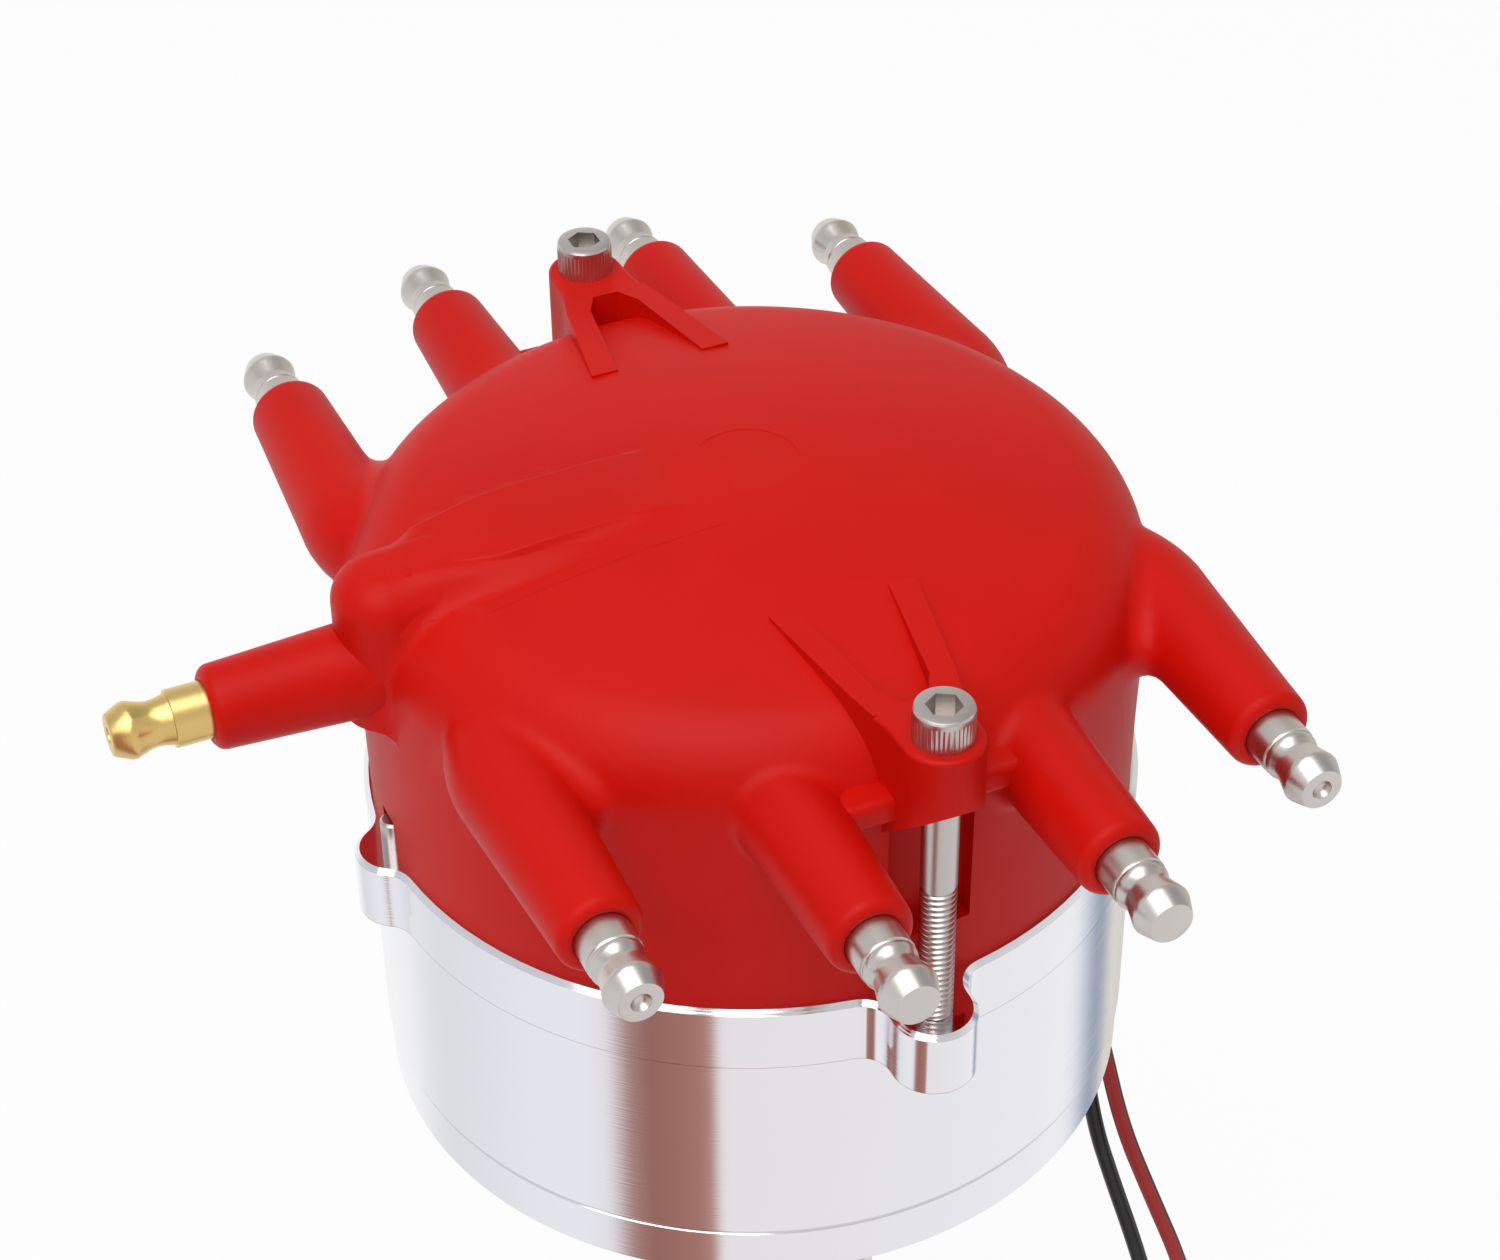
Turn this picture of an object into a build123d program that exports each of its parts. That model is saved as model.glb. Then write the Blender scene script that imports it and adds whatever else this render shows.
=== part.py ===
from build123d import *
import math
import os

# Eight-cylinder ignition distributor with a low crab-style cap.
# Millimetres. Origin: centre of the hold-down flange's seat face. +Z up, along the shaft.
# -Y: the front cap screw. -X: the coil tower. Heights named *_z are above the seat.

os.makedirs("parts", exist_ok=True)

# ------------------------------------------------------------------ driving sizes
# billet housing: bowl, neck, hold-down flange and stem in one turned piece
stem_radius = 16.1
stem_length = 92.0
flange_radius = 25.4
flange_thickness = 6.0
neck_radius = 19.0
neck_height = 8.0
bowl_height = 43.4
band_radius = 47.3
band_height = 8.7
wall_radius = 47.1
base_radius = 46.8
base_band_height = 6.6
base_chamfer = 1.5
groove_depth = 0.8
rim_chamfer = 0.6
bowl_bore = 43.2
floor_thickness = 7.0
ledge_radius = 36.0
ledge_height = 9.0
neck_fillet = 3.0
o_ring_section = 2.0
o_ring_squeeze = 0.2
o_ring_first = 62.0
o_ring_pitch = 8.0

# ears round the rim: two carry the cap screws, two the locating dowels
screw_pitch_radius = 50.8
screw_ear_radius = 5.0
dowel_pitch_radius = 46.0
dowel_ear_radius = 4.8
ear_fillet = 3.5
dowel_radius = 1.5
dowel_stand = 4.2
dowel_depth = 6.0

# cap screws
screw_radius = 2.08
screw_length = 47.6
thread_length = 22.8
thread_core_step = 0.12
head_radius = 3.43
head_height = 4.17
hex_across_flats = 3.57
hex_depth = 2.1

# moulded cap, heights from the rim unless they end in _z
cap_height = 42.35
dome_radius = 167.0
cap_edge_radius = 10.7
cap_foot_radius = 46.4
cap_shoulder_radius = 46.95
tower_root_fillet = 2.5
parting_height = 27.5
skirt_bore = 42.2
skirt_height = 19.0
tower_ring_bore = 37.2
roof_edge_height = 33.5
roof_centre_height = 36.5
lip_thickness = 0.8
lip_depth = 2.0
centre_mark_radius = 6.1
centre_mark_step = 0.12

# plug towers: all eight run parallel to the screw line
outer_tower_x = 39.6
outer_tower_end = 52.9
outer_elbow_x = 40.2
outer_elbow_y = 19.0
outer_root_radius = 6.1
outer_tower_start_x = 30.0
outer_tower_start_y = 12.0
elbow_radius = 14.0
inner_tower_x = 14.5
inner_tower_end = 64.7
inner_tower_start_y = 38.0
tower_root_radius = 6.0
tower_end_radius = 4.9
tower_end_fillet = 1.4
tower_recess_radius = 4.0
tower_recess_depth = 1.0

# coil tower and the raised duct that carries its lead to the middle
coil_tower_end = 66.1
duct_nose_stand = 3.45
duct_half_width = 6.2
duct_foot_height = 21.7
duct_nose_height = 40.6
duct_edge_radius = 4.5
duct_nose_length = 14.0
duct_foot_length = 8.0
# soft ridge over the dome: (distance from the centre, rise over the dome, half width)
duct_ridge = [
    (5.0, -0.60, 5.8),
    (9.0, -0.12, 6.4),
    (15.0, 0.30, 7.2),
    (21.0, 0.80, 7.6),
    (27.0, 1.45, 7.8),
    (33.0, 2.25, 7.5),
    (38.0, 3.10, 6.8),
    (42.0, 3.85, 5.6),
]
# bell across the ridge: (share of the half width, share of the rise)
duct_bell = [(1.0, 0.07), (0.84, 0.40), (0.69, 0.78), (0.5, 0.97), (0.25, 1.0)]
duct_skirt_drop = 0.25
duct_skirt_width = 1.15
duct_root_fillet = 2.0

# lugs that take the cap screws, each with two ribs that run up the dome
lug_nose_radius = 4.65
lug_wall_half_width = 4.8
lug_knee_half_width = 6.2
lug_knee_y = 41.0
lug_foot_height = 24.6
lug_nose_foot = 32.0
lug_height = 7.3
lug_seat_rise = 4.5
lug_edge_fillet = 0.6
lug_root = 2.15
rib_tip_y = 26.0
rib_tip_half_spread = 8.9
rib_tip_width = 3.4
rib_gap_half = 1.6
rib_web = 0.8
rib_knee_width = 3.0
rib_tip_rise = 1.15
lug_ledge_stand = 2.35
lug_ledge_height = 3.5
lug_ledge_fillet = 1.0
slot_left = 4.0
slot_right = 6.5
slot_depth = 3.15
slot_foot_height = 7.6

# plug terminals
post_radius = 3.3
post_length = 4.4
post_foot_radius = 3.5
post_foot_stand = 0.1
post_shoulder_radius = 3.05
neck_waist_radius = 2.35
neck_waist_at = 6.2
bulb_radius = 3.25
bulb_at = 8.2
tip_radius = 1.55
terminal_stand = 11.0
tip_hole_radius = 0.8
tip_hole_depth = 1.0
shank_radius = 2.2
shank_length = 12.0

# conductors inside the cap
electrode_radius = 2.2
electrode_stand = 4.0
electrode_outer = 43.5
electrode_inner = 40.0
link_radius = 1.0
riser_radius = 1.5
riser_inset = 5.9
duct_wire_height = 38.5
contact_radius = 3.2

# shaft, bushings and gear
shaft_radius = 6.23
bushing_wall = 2.8
bushing_length = 18.0
bushing_flange_radius = 12.0
bushing_flange = 0.8
bore_relief = 1.2
running_clearance = 0.03
washer_thickness = 1.0
washer_radius = 12.0
shaft_tip = 10.0
tip_slot_width = 4.8
tip_slot_depth = 7.0
gear_length = 25.0
gear_outer_radius = 15.6
gear_root_radius = 12.4
gear_teeth = 13
gear_twist = 90.0
gear_gap = 0.2
gear_pin_radius = 2.4
collar_radius = 10.0
collar_height = 6.5
set_screw_radius = 1.6

# trigger
trigger_z = 42.0
vane_height = 6.0
vane_radius = 19.0
vane_width = 3.2
vane_count = 8
vane_hub_radius = 10.5
vane_hub_height = 12.0
air_gap = 0.5
pole_width = 4.0
pole_length = 4.2
pickup_angle = 30.0
coil_radius = 5.5
coil_length = 10.0
block_length = 4.0
block_width = 11.0
block_height = 8.0
plate_thickness = 1.5
plate_bore = 22.0
plate_screw_circle = 39.4
plate_screw_depth = 7.0
pickup_screw_depth = 3.0
small_screw_radius = 1.5
small_head_radius = 2.6
small_head_height = 1.9

# rotor
mount_flange_radius = 20.0
mount_flange = 5.0
mount_hub_radius = 10.0
mount_hub_height = 9.0
mount_pin_radius = 1.5
rotor_radius = 28.0
rotor_rim = 5.0
rotor_foot_radius = 20.0
rotor_height = 14.2
rotor_waist_radius = 13.0
blade_thickness = 1.2
blade_width = 6.0
blade_tail = 6.0
tip_gap = 0.8
tip_width = 8.0
tip_drop = 3.0
rotor_screw_circle = 15.0
rotor_screw_depth = 10.0
shaft_spigot = 2.0

# carbon brush and its spring
brush_radius = 2.4
brush_length = 5.0
brush_gap = 0.1
brush_bore_clearance = 0.08
brush_boss_radius = 6.0
brush_boss_drop = 6.0
spring_radius = 1.7
spring_wire = 0.3
spring_turns = 4

# leads
lead_radius = 1.15
lead_spacing = 3.4
lead_hole_clearance = 0.05
lead_exit = 57.0
grommet_radius = 4.2
grommet_flange_radius = 5.4
grommet_flange = 1.6
connector_width = 13.0
connector_depth = 8.0
connector_length = 24.0
connector_socket = 3.0
connector_socket_clearance = 0.3
connector_mouth = 12.0

# fits
slip = 0.05
press = 0.0

# ------------------------------------------------------------------ derived levels
housing_bottom_z = flange_thickness + neck_height
rim_z = housing_bottom_z + bowl_height
floor_z = housing_bottom_z + floor_thickness
ledge_z = floor_z + ledge_height
tower_z = rim_z + parting_height
cap_top_z = rim_z + cap_height
bushing_radius = shaft_radius + running_clearance + bushing_wall
stem_bottom_z = -stem_length
blade_top_z = tower_z + 1.5
blade_bottom_z = blade_top_z - blade_thickness
rotor_foot_z = blade_bottom_z - rotor_height
mount_foot_z = rotor_foot_z - mount_flange
gear_top_z = stem_bottom_z - washer_thickness - gear_gap
gear_bottom_z = gear_top_z - gear_length
shaft_end_z = gear_bottom_z - shaft_tip
plate_top_z = ledge_z + plate_thickness
electrode_face = rotor_radius + electrode_stand
rotor_tip_radius = electrode_face - tip_gap
duct_nose = cap_shoulder_radius + duct_nose_stand
riser_x = duct_nose - riser_inset
lug_ledge_face = cap_shoulder_radius + lug_ledge_stand
lug_back = cap_shoulder_radius - lug_root
slot_floor_radius = cap_shoulder_radius - slot_depth

nodes = {}


# ------------------------------------------------------------------ small helpers
def disc(radius, low, high, x=0.0, y=0.0):
    """Upright cylinder between two heights."""
    return Pos(x, y, (low + high) / 2) * Cylinder(radius, high - low)


def ring(outer, inner, low, high, x=0.0, y=0.0):
    """Upright tube between two heights."""
    return disc(outer, low, high, x, y) - disc(inner, low - 1, high + 1, x, y)


def block(x0, x1, y0, y1, z0, z1):
    """Box from its lowest and highest corners."""
    centre = Pos((x0 + x1) / 2, (y0 + y1) / 2, (z0 + z1) / 2)
    return centre * Box(x1 - x0, y1 - y0, z1 - z0)


def turned(points):
    """Solid of revolution about Z from (radius, height) points."""
    outline = Polyline([(r, 0, z) for r, z in points], close=True)
    return revolve(make_face(outline), Axis.Z)


def rod(start, end, radius):
    """Round bar between two points."""
    start, end = Vector(*start), Vector(*end)
    line = end - start
    plane = Plane(origin=start, z_dir=line)
    return plane * Pos(0, 0, line.length / 2) * Cylinder(radius, line.length)


def cone(start, end, start_radius, end_radius):
    """Tapered bar between two points."""
    start, end = Vector(*start), Vector(*end)
    line = end - start
    plane = Plane(origin=start, z_dir=line)
    return Solid.make_cone(start_radius, end_radius, line.length, plane)


def along(angle, distance, side=0.0, height=0.0):
    """Point at a distance along a compass angle, shifted sideways."""
    a = math.radians(angle)
    x = distance * math.cos(a) - side * math.sin(a)
    y = distance * math.sin(a) + side * math.cos(a)
    return (x, y, height)


def group(shapes):
    """Several separate solids as one node."""
    solids = []
    for shape in shapes:
        solids.extend(shape.solids())
    return Compound(children=solids)


def dome_z(radius):
    """Height of the cap's dome at a radius."""
    return cap_top_z - dome_radius + math.sqrt(dome_radius**2 - radius**2)


# ------------------------------------------------------------------ housing
def ear_plate():
    """Upper band of the bowl with its four ears, chamfered round the top."""
    outline = Circle(band_radius)
    for turn in (0, 180):
        arm = Pos(0, -screw_pitch_radius / 2) * Rectangle(2 * screw_ear_radius, screw_pitch_radius)
        nose = Pos(0, -screw_pitch_radius) * Circle(screw_ear_radius)
        outline += Rot(0, 0, turn) * (arm + nose)
        outline += Rot(0, 0, turn) * Pos(dowel_pitch_radius, 0) * Circle(dowel_ear_radius)
    inner = [v for v in outline.vertices() if abs(math.hypot(v.X, v.Y) - band_radius) < 0.01]
    outline = fillet(inner, ear_fillet)
    plate = Pos(0, 0, rim_z - band_height) * extrude(outline, band_height)
    return chamfer(plate.edges().group_by(Axis.Z)[-1], rim_chamfer)


def make_housing():
    groove_z = housing_bottom_z + base_band_height
    outline = Polyline(
        [
            (0, 0, stem_bottom_z),
            (stem_radius - 1, 0, stem_bottom_z),
            (stem_radius, 0, stem_bottom_z + 1),
            (stem_radius, 0, 0),
            (flange_radius, 0, 0),
            (flange_radius, 0, flange_thickness),
            (neck_radius, 0, flange_thickness),
            (neck_radius, 0, housing_bottom_z),
            (base_radius - base_chamfer, 0, housing_bottom_z),
            (base_radius, 0, housing_bottom_z + base_chamfer),
            (base_radius, 0, groove_z - groove_depth),
            (base_radius - groove_depth, 0, groove_z),
            (wall_radius, 0, groove_z + groove_depth),
            (wall_radius, 0, rim_z - band_height / 2),
            (0, 0, rim_z - band_height / 2),
        ],
        close=True,
    )
    face = make_face(outline)
    neck = [v for v in face.vertices() if abs(v.X - neck_radius) < 0.01]
    body = revolve(fillet(neck, neck_fillet), Axis.Z)
    body += ear_plate()
    body -= disc(ledge_radius, floor_z, rim_z)
    body -= disc(bowl_bore, ledge_z, rim_z + 1)
    body -= disc(shaft_radius + bore_relief, stem_bottom_z - 1, rim_z)
    body -= disc(bushing_radius, floor_z - bushing_length, rim_z)
    body -= disc(bushing_radius, stem_bottom_z - 1, stem_bottom_z + bushing_length)
    groove_floor = stem_radius - o_ring_section + o_ring_squeeze
    for i in range(2):
        middle = -o_ring_first - i * o_ring_pitch
        half = o_ring_section * 0.65
        body -= ring(stem_radius + 1, groove_floor, middle - half, middle + half)
    for side in (-1, 1):
        body -= disc(screw_radius + slip, rim_z - band_height - 1, rim_z + 1, 0, side * screw_pitch_radius)
        body -= disc(dowel_radius, rim_z - dowel_depth, rim_z + 1, side * dowel_pitch_radius)
        spot = along(90 * side, plate_screw_circle)
        body -= disc(small_screw_radius, ledge_z - 6, ledge_z + 1, spot[0], spot[1])
    start = along(pickup_angle, bowl_bore - 3, 0, trigger_z)
    end = along(pickup_angle, band_radius + 3, 0, trigger_z)
    body -= rod(start, end, grommet_radius)
    return body


def make_o_rings():
    """Two rubber rings in the stem's grooves."""
    radius = o_ring_section / 2
    centre = stem_radius - o_ring_section + o_ring_squeeze + radius
    rings = []
    for i in range(2):
        rings.append(Pos(0, 0, -o_ring_first - i * o_ring_pitch) * Torus(centre, radius))
    return group(rings)


def make_dowels():
    pins = []
    for side in (-1, 1):
        pin = disc(dowel_radius, rim_z - dowel_depth, rim_z + dowel_stand, side * dowel_pitch_radius)
        pins.append(chamfer(pin.edges().group_by(Axis.Z)[-1], 0.3))
    return group(pins)


def make_cap_screws():
    """Long socket head screws: plain shank above, threaded length below."""
    head_z = rim_z + parting_height + lug_height + lug_seat_rise
    core = screw_radius - thread_core_step
    screws = []
    for side in (-1, 1):
        y = side * screw_pitch_radius
        head = disc(head_radius, head_z, head_z + head_height, 0, y)
        head = fillet(head.edges().group_by(Axis.Z)[-1], 0.5)
        socket = RegularPolygon(hex_across_flats / 2, 6, major_radius=False)
        top = head_z + head_height
        head -= Pos(0, y, top - hex_depth) * extrude(socket, hex_depth + 1)
        shank = disc(screw_radius, head_z - screw_length + thread_length, head_z, 0, y)
        thread = disc(core, head_z - screw_length, head_z - screw_length + thread_length, 0, y)
        screws.append(head + shank + thread)
    return group(screws)


# ------------------------------------------------------------------ cap
def cap_blank():
    """Domed cup, turned: tapered skirt, broad round shoulder, shallow dome."""
    shoulder_z = dome_z(cap_shoulder_radius)
    middle = cap_shoulder_radius / 2
    profile = Polyline(
        (0, 0, cap_top_z),
        (0, 0, rim_z),
        (cap_foot_radius, 0, rim_z),
        (cap_shoulder_radius, 0, shoulder_z),
    )
    top = ThreePointArc(
        (cap_shoulder_radius, 0, shoulder_z),
        (middle, 0, dome_z(middle)),
        (0, 0, cap_top_z),
    )
    face = make_face([profile.edges(), top.edges()])
    corner = [v for v in face.vertices() if abs(v.X - cap_shoulder_radius) < 0.01]
    return revolve(fillet(corner, cap_edge_radius), Axis.Z)


def outer_tower(side, front):
    """Tower that leaves the wall square on and elbows to run along the screw line."""
    start = (side * outer_tower_start_x, front * outer_tower_start_y, tower_z)
    corner = (side * outer_elbow_x, front * outer_elbow_y, tower_z)
    end = (side * outer_tower_x, front * outer_tower_end, tower_z)
    path = FilletPolyline(start, corner, end, radius=elbow_radius)
    bend = path.edges()[1]
    arc_end = max((bend @ 0, bend @ 1), key=lambda p: abs(p.Y))
    first = Wire([path.edges()[0], bend])
    section = Plane(origin=first @ 0, z_dir=first % 0) * Circle(outer_root_radius)
    elbow = sweep(section, path=first)
    return elbow + straight_tower((arc_end.X, arc_end.Y, tower_z), end, outer_root_radius)


def straight_tower(start, end, root_radius=tower_root_radius):
    """Tapered tower with a rounded end."""
    tube = cone(start, end, root_radius, tower_end_radius)
    rim = Part(tube.wrapped).edges().sort_by_distance(Vector(*end))[0]
    return Part() + fillet(rim, tower_end_fillet)


def lug_side_width(y):
    """Half width of the lug's outline between its knee and the wall, at a distance y."""
    wall_y = cap_shoulder_radius
    share = (y - lug_knee_y) / (wall_y - lug_knee_y)
    return lug_knee_half_width + share * (lug_wall_half_width - lug_knee_half_width)


def nose_tangent():
    """Point where the lug's flank runs into the round nose."""
    x, y = lug_wall_half_width, screw_pitch_radius - cap_shoulder_radius
    reach = math.hypot(x, y)
    a = math.atan2(y, x) - math.acos(lug_nose_radius / reach)
    return lug_nose_radius * math.cos(a), screw_pitch_radius - lug_nose_radius * math.sin(a)


def screw_lug():
    """Front lug: a tapered nose under the screw's head, drawn out into two ribs up the dome."""
    seat = tower_z + lug_seat_rise + lug_height
    foot = rim_z + lug_foot_height
    low = foot - 5
    wall_y = cap_shoulder_radius
    nose_face = screw_pitch_radius + lug_nose_radius
    slope = (lug_nose_foot - lug_foot_height) / (nose_face - wall_y)
    tangent_x, tangent_y = nose_tangent()
    back_x = lug_side_width(lug_back)
    flanks = Polyline(
        (-tangent_x, -tangent_y),
        (-lug_wall_half_width, -wall_y),
        (-back_x, -lug_back),
        (back_x, -lug_back),
        (lug_wall_half_width, -wall_y),
        (tangent_x, -tangent_y),
    )
    nose = ThreePointArc((-tangent_x, -tangent_y), (0, -nose_face), (tangent_x, -tangent_y))
    head = Pos(0, 0, low) * extrude(make_face([flanks.edges(), nose.edges()]), seat - low)
    rim = [e for e in head.edges().group_by(Axis.Z)[-1] if e.center().Y < -lug_back - 0.1]
    head = fillet(rim, lug_edge_fillet)
    root = slot_floor_radius - 0.5
    head += block(-lug_nose_radius, lug_nose_radius, -wall_y, -root, low, rim_z + lug_nose_foot)
    under = Polyline(
        (0, -nose_face - 1, rim_z + lug_nose_foot + slope),
        (0, -root + 1, foot - slope * (wall_y - root + 1)),
        (0, -root + 1, low - 10),
        (0, -nose_face - 1, low - 10),
        close=True,
    )
    return head + lug_ribs(seat) - extrude(make_face(under), amount=12, both=True)


def lug_ribs(seat):
    """The two ribs, from the back of the lug to their tips on the dome."""
    tip_in = rib_tip_half_spread - rib_tip_width
    knee_in = lug_knee_half_width - rib_knee_width
    back_x = lug_side_width(lug_back)
    plan = Polyline(
        (-rib_tip_half_spread, -rib_tip_y),
        (-lug_knee_half_width, -lug_knee_y),
        (-back_x, -lug_back),
        (back_x, -lug_back),
        (lug_knee_half_width, -lug_knee_y),
        (rib_tip_half_spread, -rib_tip_y),
        (tip_in, -rib_tip_y),
        (knee_in, -lug_knee_y),
        (rib_gap_half, -lug_back + rib_web),
        (-rib_gap_half, -lug_back + rib_web),
        (-knee_in, -lug_knee_y),
        (-tip_in, -rib_tip_y),
        close=True,
    )
    side = Polyline(
        (0, -lug_back, tower_z),
        (0, -lug_back, seat),
        (0, -rib_tip_y, seat + rib_tip_rise),
        (0, -rib_tip_y + 8, seat - 4),
        (0, -rib_tip_y + 8, seat - 6),
        close=True,
    )
    upright = Pos(0, 0, tower_z - 5) * extrude(make_face(plan), 30)
    return upright & extrude(make_face(side), amount=12, both=True)


def lug_ledge():
    """Low bar across the wall that ties the lug's web to the towers beside it."""
    reach = inner_tower_x
    top = tower_z + lug_ledge_height
    bar = block(-reach, reach, -lug_ledge_face, -lug_back, tower_z, top)
    long_edges = [e for e in bar.edges().filter_by(Axis.X) if e.center().Y < -lug_ledge_face + 0.1]
    return fillet(long_edges, lug_ledge_fillet)


def duct_crown():
    """Ridge that rises out of the dome: bell sections lofted from the middle to the nose."""
    base = rim_z + roof_edge_height
    sections = []
    for distance, rise, half_width in duct_ridge:
        side = [(half_width * share, rise * lift) for share, lift in duct_bell]
        skirt = half_width * duct_skirt_width
        over = [(skirt, -duct_skirt_drop)] + side + [(0.0, rise)]
        over += [(-y, lift) for y, lift in reversed(over[:-1])]
        points = [(-distance, y, dome_z(math.hypot(distance, y)) + lift) for y, lift in over]
        top = Spline(*points)
        under = Polyline(points[-1], (-distance, -skirt, base), (-distance, skirt, base), points[0])
        sections.append(make_face([top.edges(), under.edges()]))
    return loft(sections)


def coil_duct():
    """Blunt nose of the duct, over the coil tower, with its ridge up the dome."""
    foot = rim_z + duct_foot_height
    nose_top = rim_z + duct_nose_height
    back = -duct_nose + duct_nose_length
    rise = dome_z(-back) + duct_ridge[-2][1] - 0.6
    side = Polyline(
        (-duct_nose, 0, foot),
        (-duct_nose, 0, nose_top),
        (back, 0, rise),
        (back, 0, nose_top - 6),
        (-duct_nose + duct_foot_length, 0, foot),
        close=True,
    )
    duct = extrude(make_face(side), amount=duct_half_width, both=True)
    nose = [e for e in duct.edges().filter_by(Axis.Z) if e.center().X < -duct_nose + 0.1]
    duct = fillet(nose, duct_half_width - 0.2)
    upper = [e for e in duct.edges() if e.center().Z > nose_top - 0.05 and e.center().X < back - 0.5]
    return fillet(upper, duct_edge_radius)


def electrode_points(side, front, outer):
    """Electrode's inner and outer ends and the point where its link leaves it."""
    x = outer_tower_x if outer else inner_tower_x
    angle = 67.5 if outer else 22.5
    a = math.radians(angle)
    reach = electrode_outer if outer else electrode_inner
    inner_end = (side * electrode_face * math.sin(a), front * electrode_face * math.cos(a), tower_z)
    outer_end = (side * reach * math.sin(a), front * reach * math.cos(a), tower_z)
    join_y = x / math.tan(a)
    return inner_end, outer_end, (side * x, front * join_y, tower_z)


# towers in plug order: (side, front, outer), side +1 is +X, front -1 is -Y
tower_places = [
    (1, -1, True),
    (1, -1, False),
    (-1, -1, False),
    (-1, -1, True),
    (-1, 1, True),
    (-1, 1, False),
    (1, 1, False),
    (1, 1, True),
]


def tower_end(side, front, outer):
    """Centre of a tower's end face and the way it points."""
    x = outer_tower_x if outer else inner_tower_x
    y = outer_tower_end if outer else inner_tower_end
    return (side * x, front * y, tower_z), (0, front, 0)


def electrode(side, front, outer):
    """Radial electrode with the link that runs out along its tower."""
    inner_end, outer_end, join = electrode_points(side, front, outer)
    end, way = tower_end(side, front, outer)
    shank_end = (end[0], end[1] - front * (tower_recess_depth + shank_length), tower_z)
    return rod(inner_end, outer_end, electrode_radius) + rod(join, shank_end, link_radius)


def coil_link():
    """Brass link: along the coil tower, up, and in through the duct to the middle."""
    shank_end = -coil_tower_end + tower_recess_depth + shank_length
    wire_z = rim_z + duct_wire_height
    link = rod((shank_end, 0, tower_z), (-riser_x, 0, tower_z), link_radius)
    link += disc(riser_radius, tower_z - riser_radius, wire_z + riser_radius, -riser_x)
    link += rod((-riser_x, 0, wire_z), (0, 0, wire_z), link_radius)
    link += disc(contact_radius, rim_z + roof_centre_height + 0.5, wire_z + riser_radius)
    return link


def terminal_profile(holed):
    """Half outline of a snap terminal, (radius, distance out from the tower's end)."""
    seat = -tower_recess_depth
    outline = [
        (0, seat - shank_length),
        (shank_radius, seat - shank_length),
        (shank_radius, seat),
        (post_foot_radius, seat),
        (post_foot_radius, post_foot_stand),
        (post_radius, post_foot_stand),
        (post_radius, post_length),
        (post_shoulder_radius, post_length + 0.3),
        (neck_waist_radius, neck_waist_at - 0.5),
        (neck_waist_radius, neck_waist_at),
        (bulb_radius, bulb_at - 0.8),
        (bulb_radius, bulb_at + 0.3),
        (tip_radius + 0.3, terminal_stand - 0.3),
        (tip_radius, terminal_stand),
    ]
    if holed:
        return outline + [(tip_hole_radius, terminal_stand), (0, terminal_stand - tip_hole_depth)]
    return outline + [(0, terminal_stand)]


def terminal(end, way, holed):
    """Snap terminal at a tower's end, with or without a centre hole in its tip."""
    body = turned(terminal_profile(holed))
    return Plane(origin=end, z_dir=way) * body


def make_cap(electrodes, link):
    cap = cap_blank()
    nose = coil_duct()
    joined = cap + nose
    cap = fillet(new_edges(cap, nose, combined=joined), duct_root_fillet)
    for side, front, outer in tower_places:
        end, way = tower_end(side, front, outer)
        if outer:
            tower = outer_tower(side, front)
        else:
            tower = straight_tower((end[0], front * inner_tower_start_y, tower_z), end)
        joined = cap + tower
        cap = fillet(new_edges(cap, tower, combined=joined), tower_root_fillet)
    cap += duct_crown()
    cap += straight_tower((-duct_nose + 8, 0, tower_z), (-coil_tower_end, 0, tower_z))
    slot_foot = rim_z + slot_foot_height
    slot = block(-slot_left, slot_right, -cap_shoulder_radius - 2, -slot_floor_radius, slot_foot, tower_z)
    for turn in (0, 180):
        cap -= Rot(0, 0, turn) * slot
        cap += Rot(0, 0, turn) * lug_ledge()
        cap += Rot(0, 0, turn) * screw_lug()
    cap += disc(centre_mark_radius, cap_top_z - 2, cap_top_z + centre_mark_step)

    # hollow underside, with the boss that guides the brush
    roof_z = rim_z + roof_centre_height
    hollow = turned(
        [
            (0, rim_z - 1),
            (skirt_bore, rim_z - 1),
            (skirt_bore, rim_z + skirt_height),
            (tower_ring_bore, rim_z + skirt_height + 2),
            (tower_ring_bore, rim_z + roof_edge_height),
            (brush_boss_radius, roof_z),
            (0, roof_z),
        ]
    )
    hollow -= disc(brush_boss_radius, roof_z - brush_boss_drop, roof_z + 1)
    cap -= hollow
    cap += ring(bowl_bore - slip, skirt_bore - 0.2, rim_z - lip_depth, rim_z + 0.5)
    cap -= disc(brush_radius + brush_bore_clearance, rim_z, roof_z + 0.5)

    # seats and bores for what the cap carries
    for side, front, outer in tower_places:
        end, way = tower_end(side, front, outer)
        cap -= tower_bore(end, way)
    cap -= tower_bore((-coil_tower_end, 0, tower_z), (-1, 0, 0))
    for piece in electrodes:
        cap -= piece
    cap -= link
    for turn in (0, 180):
        screw_y = -screw_pitch_radius if turn else screw_pitch_radius
        cap -= disc(screw_radius + 0.15, rim_z, cap_top_z, 0, screw_y)
        notch_x = dowel_pitch_radius if turn else -dowel_pitch_radius
        cap -= disc(dowel_radius + 0.5, rim_z - 1, rim_z + dowel_stand + 0.8, notch_x)
    return cap


def tower_bore(end, way):
    """Recess and bore that seat a terminal's post and shank."""
    start = Vector(*end)
    away = Vector(*way)
    floor = start - away * tower_recess_depth
    bottom = floor - away * shank_length
    recess = rod(tuple(floor), tuple(start + away * 5), tower_recess_radius)
    return recess + rod(tuple(bottom), tuple(floor), shank_radius)


# ------------------------------------------------------------------ brush
def brush_levels():
    low = blade_top_z + brush_gap
    return low, low + brush_length, rim_z + roof_centre_height + 0.5


def make_brush():
    low, high, seat = brush_levels()
    brush = disc(brush_radius, low, high)
    return fillet(brush.edges().group_by(Axis.Z)[0], 0.6)


def make_brush_spring():
    low, high, seat = brush_levels()
    height = seat - high - spring_wire
    coil = Helix(height / spring_turns, height, spring_radius, center=(0, 0, high + spring_wire / 2))
    section = Plane(origin=coil @ 0, z_dir=coil % 0) * Circle(spring_wire / 2)
    return sweep(section, path=coil, is_frenet=True)


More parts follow.
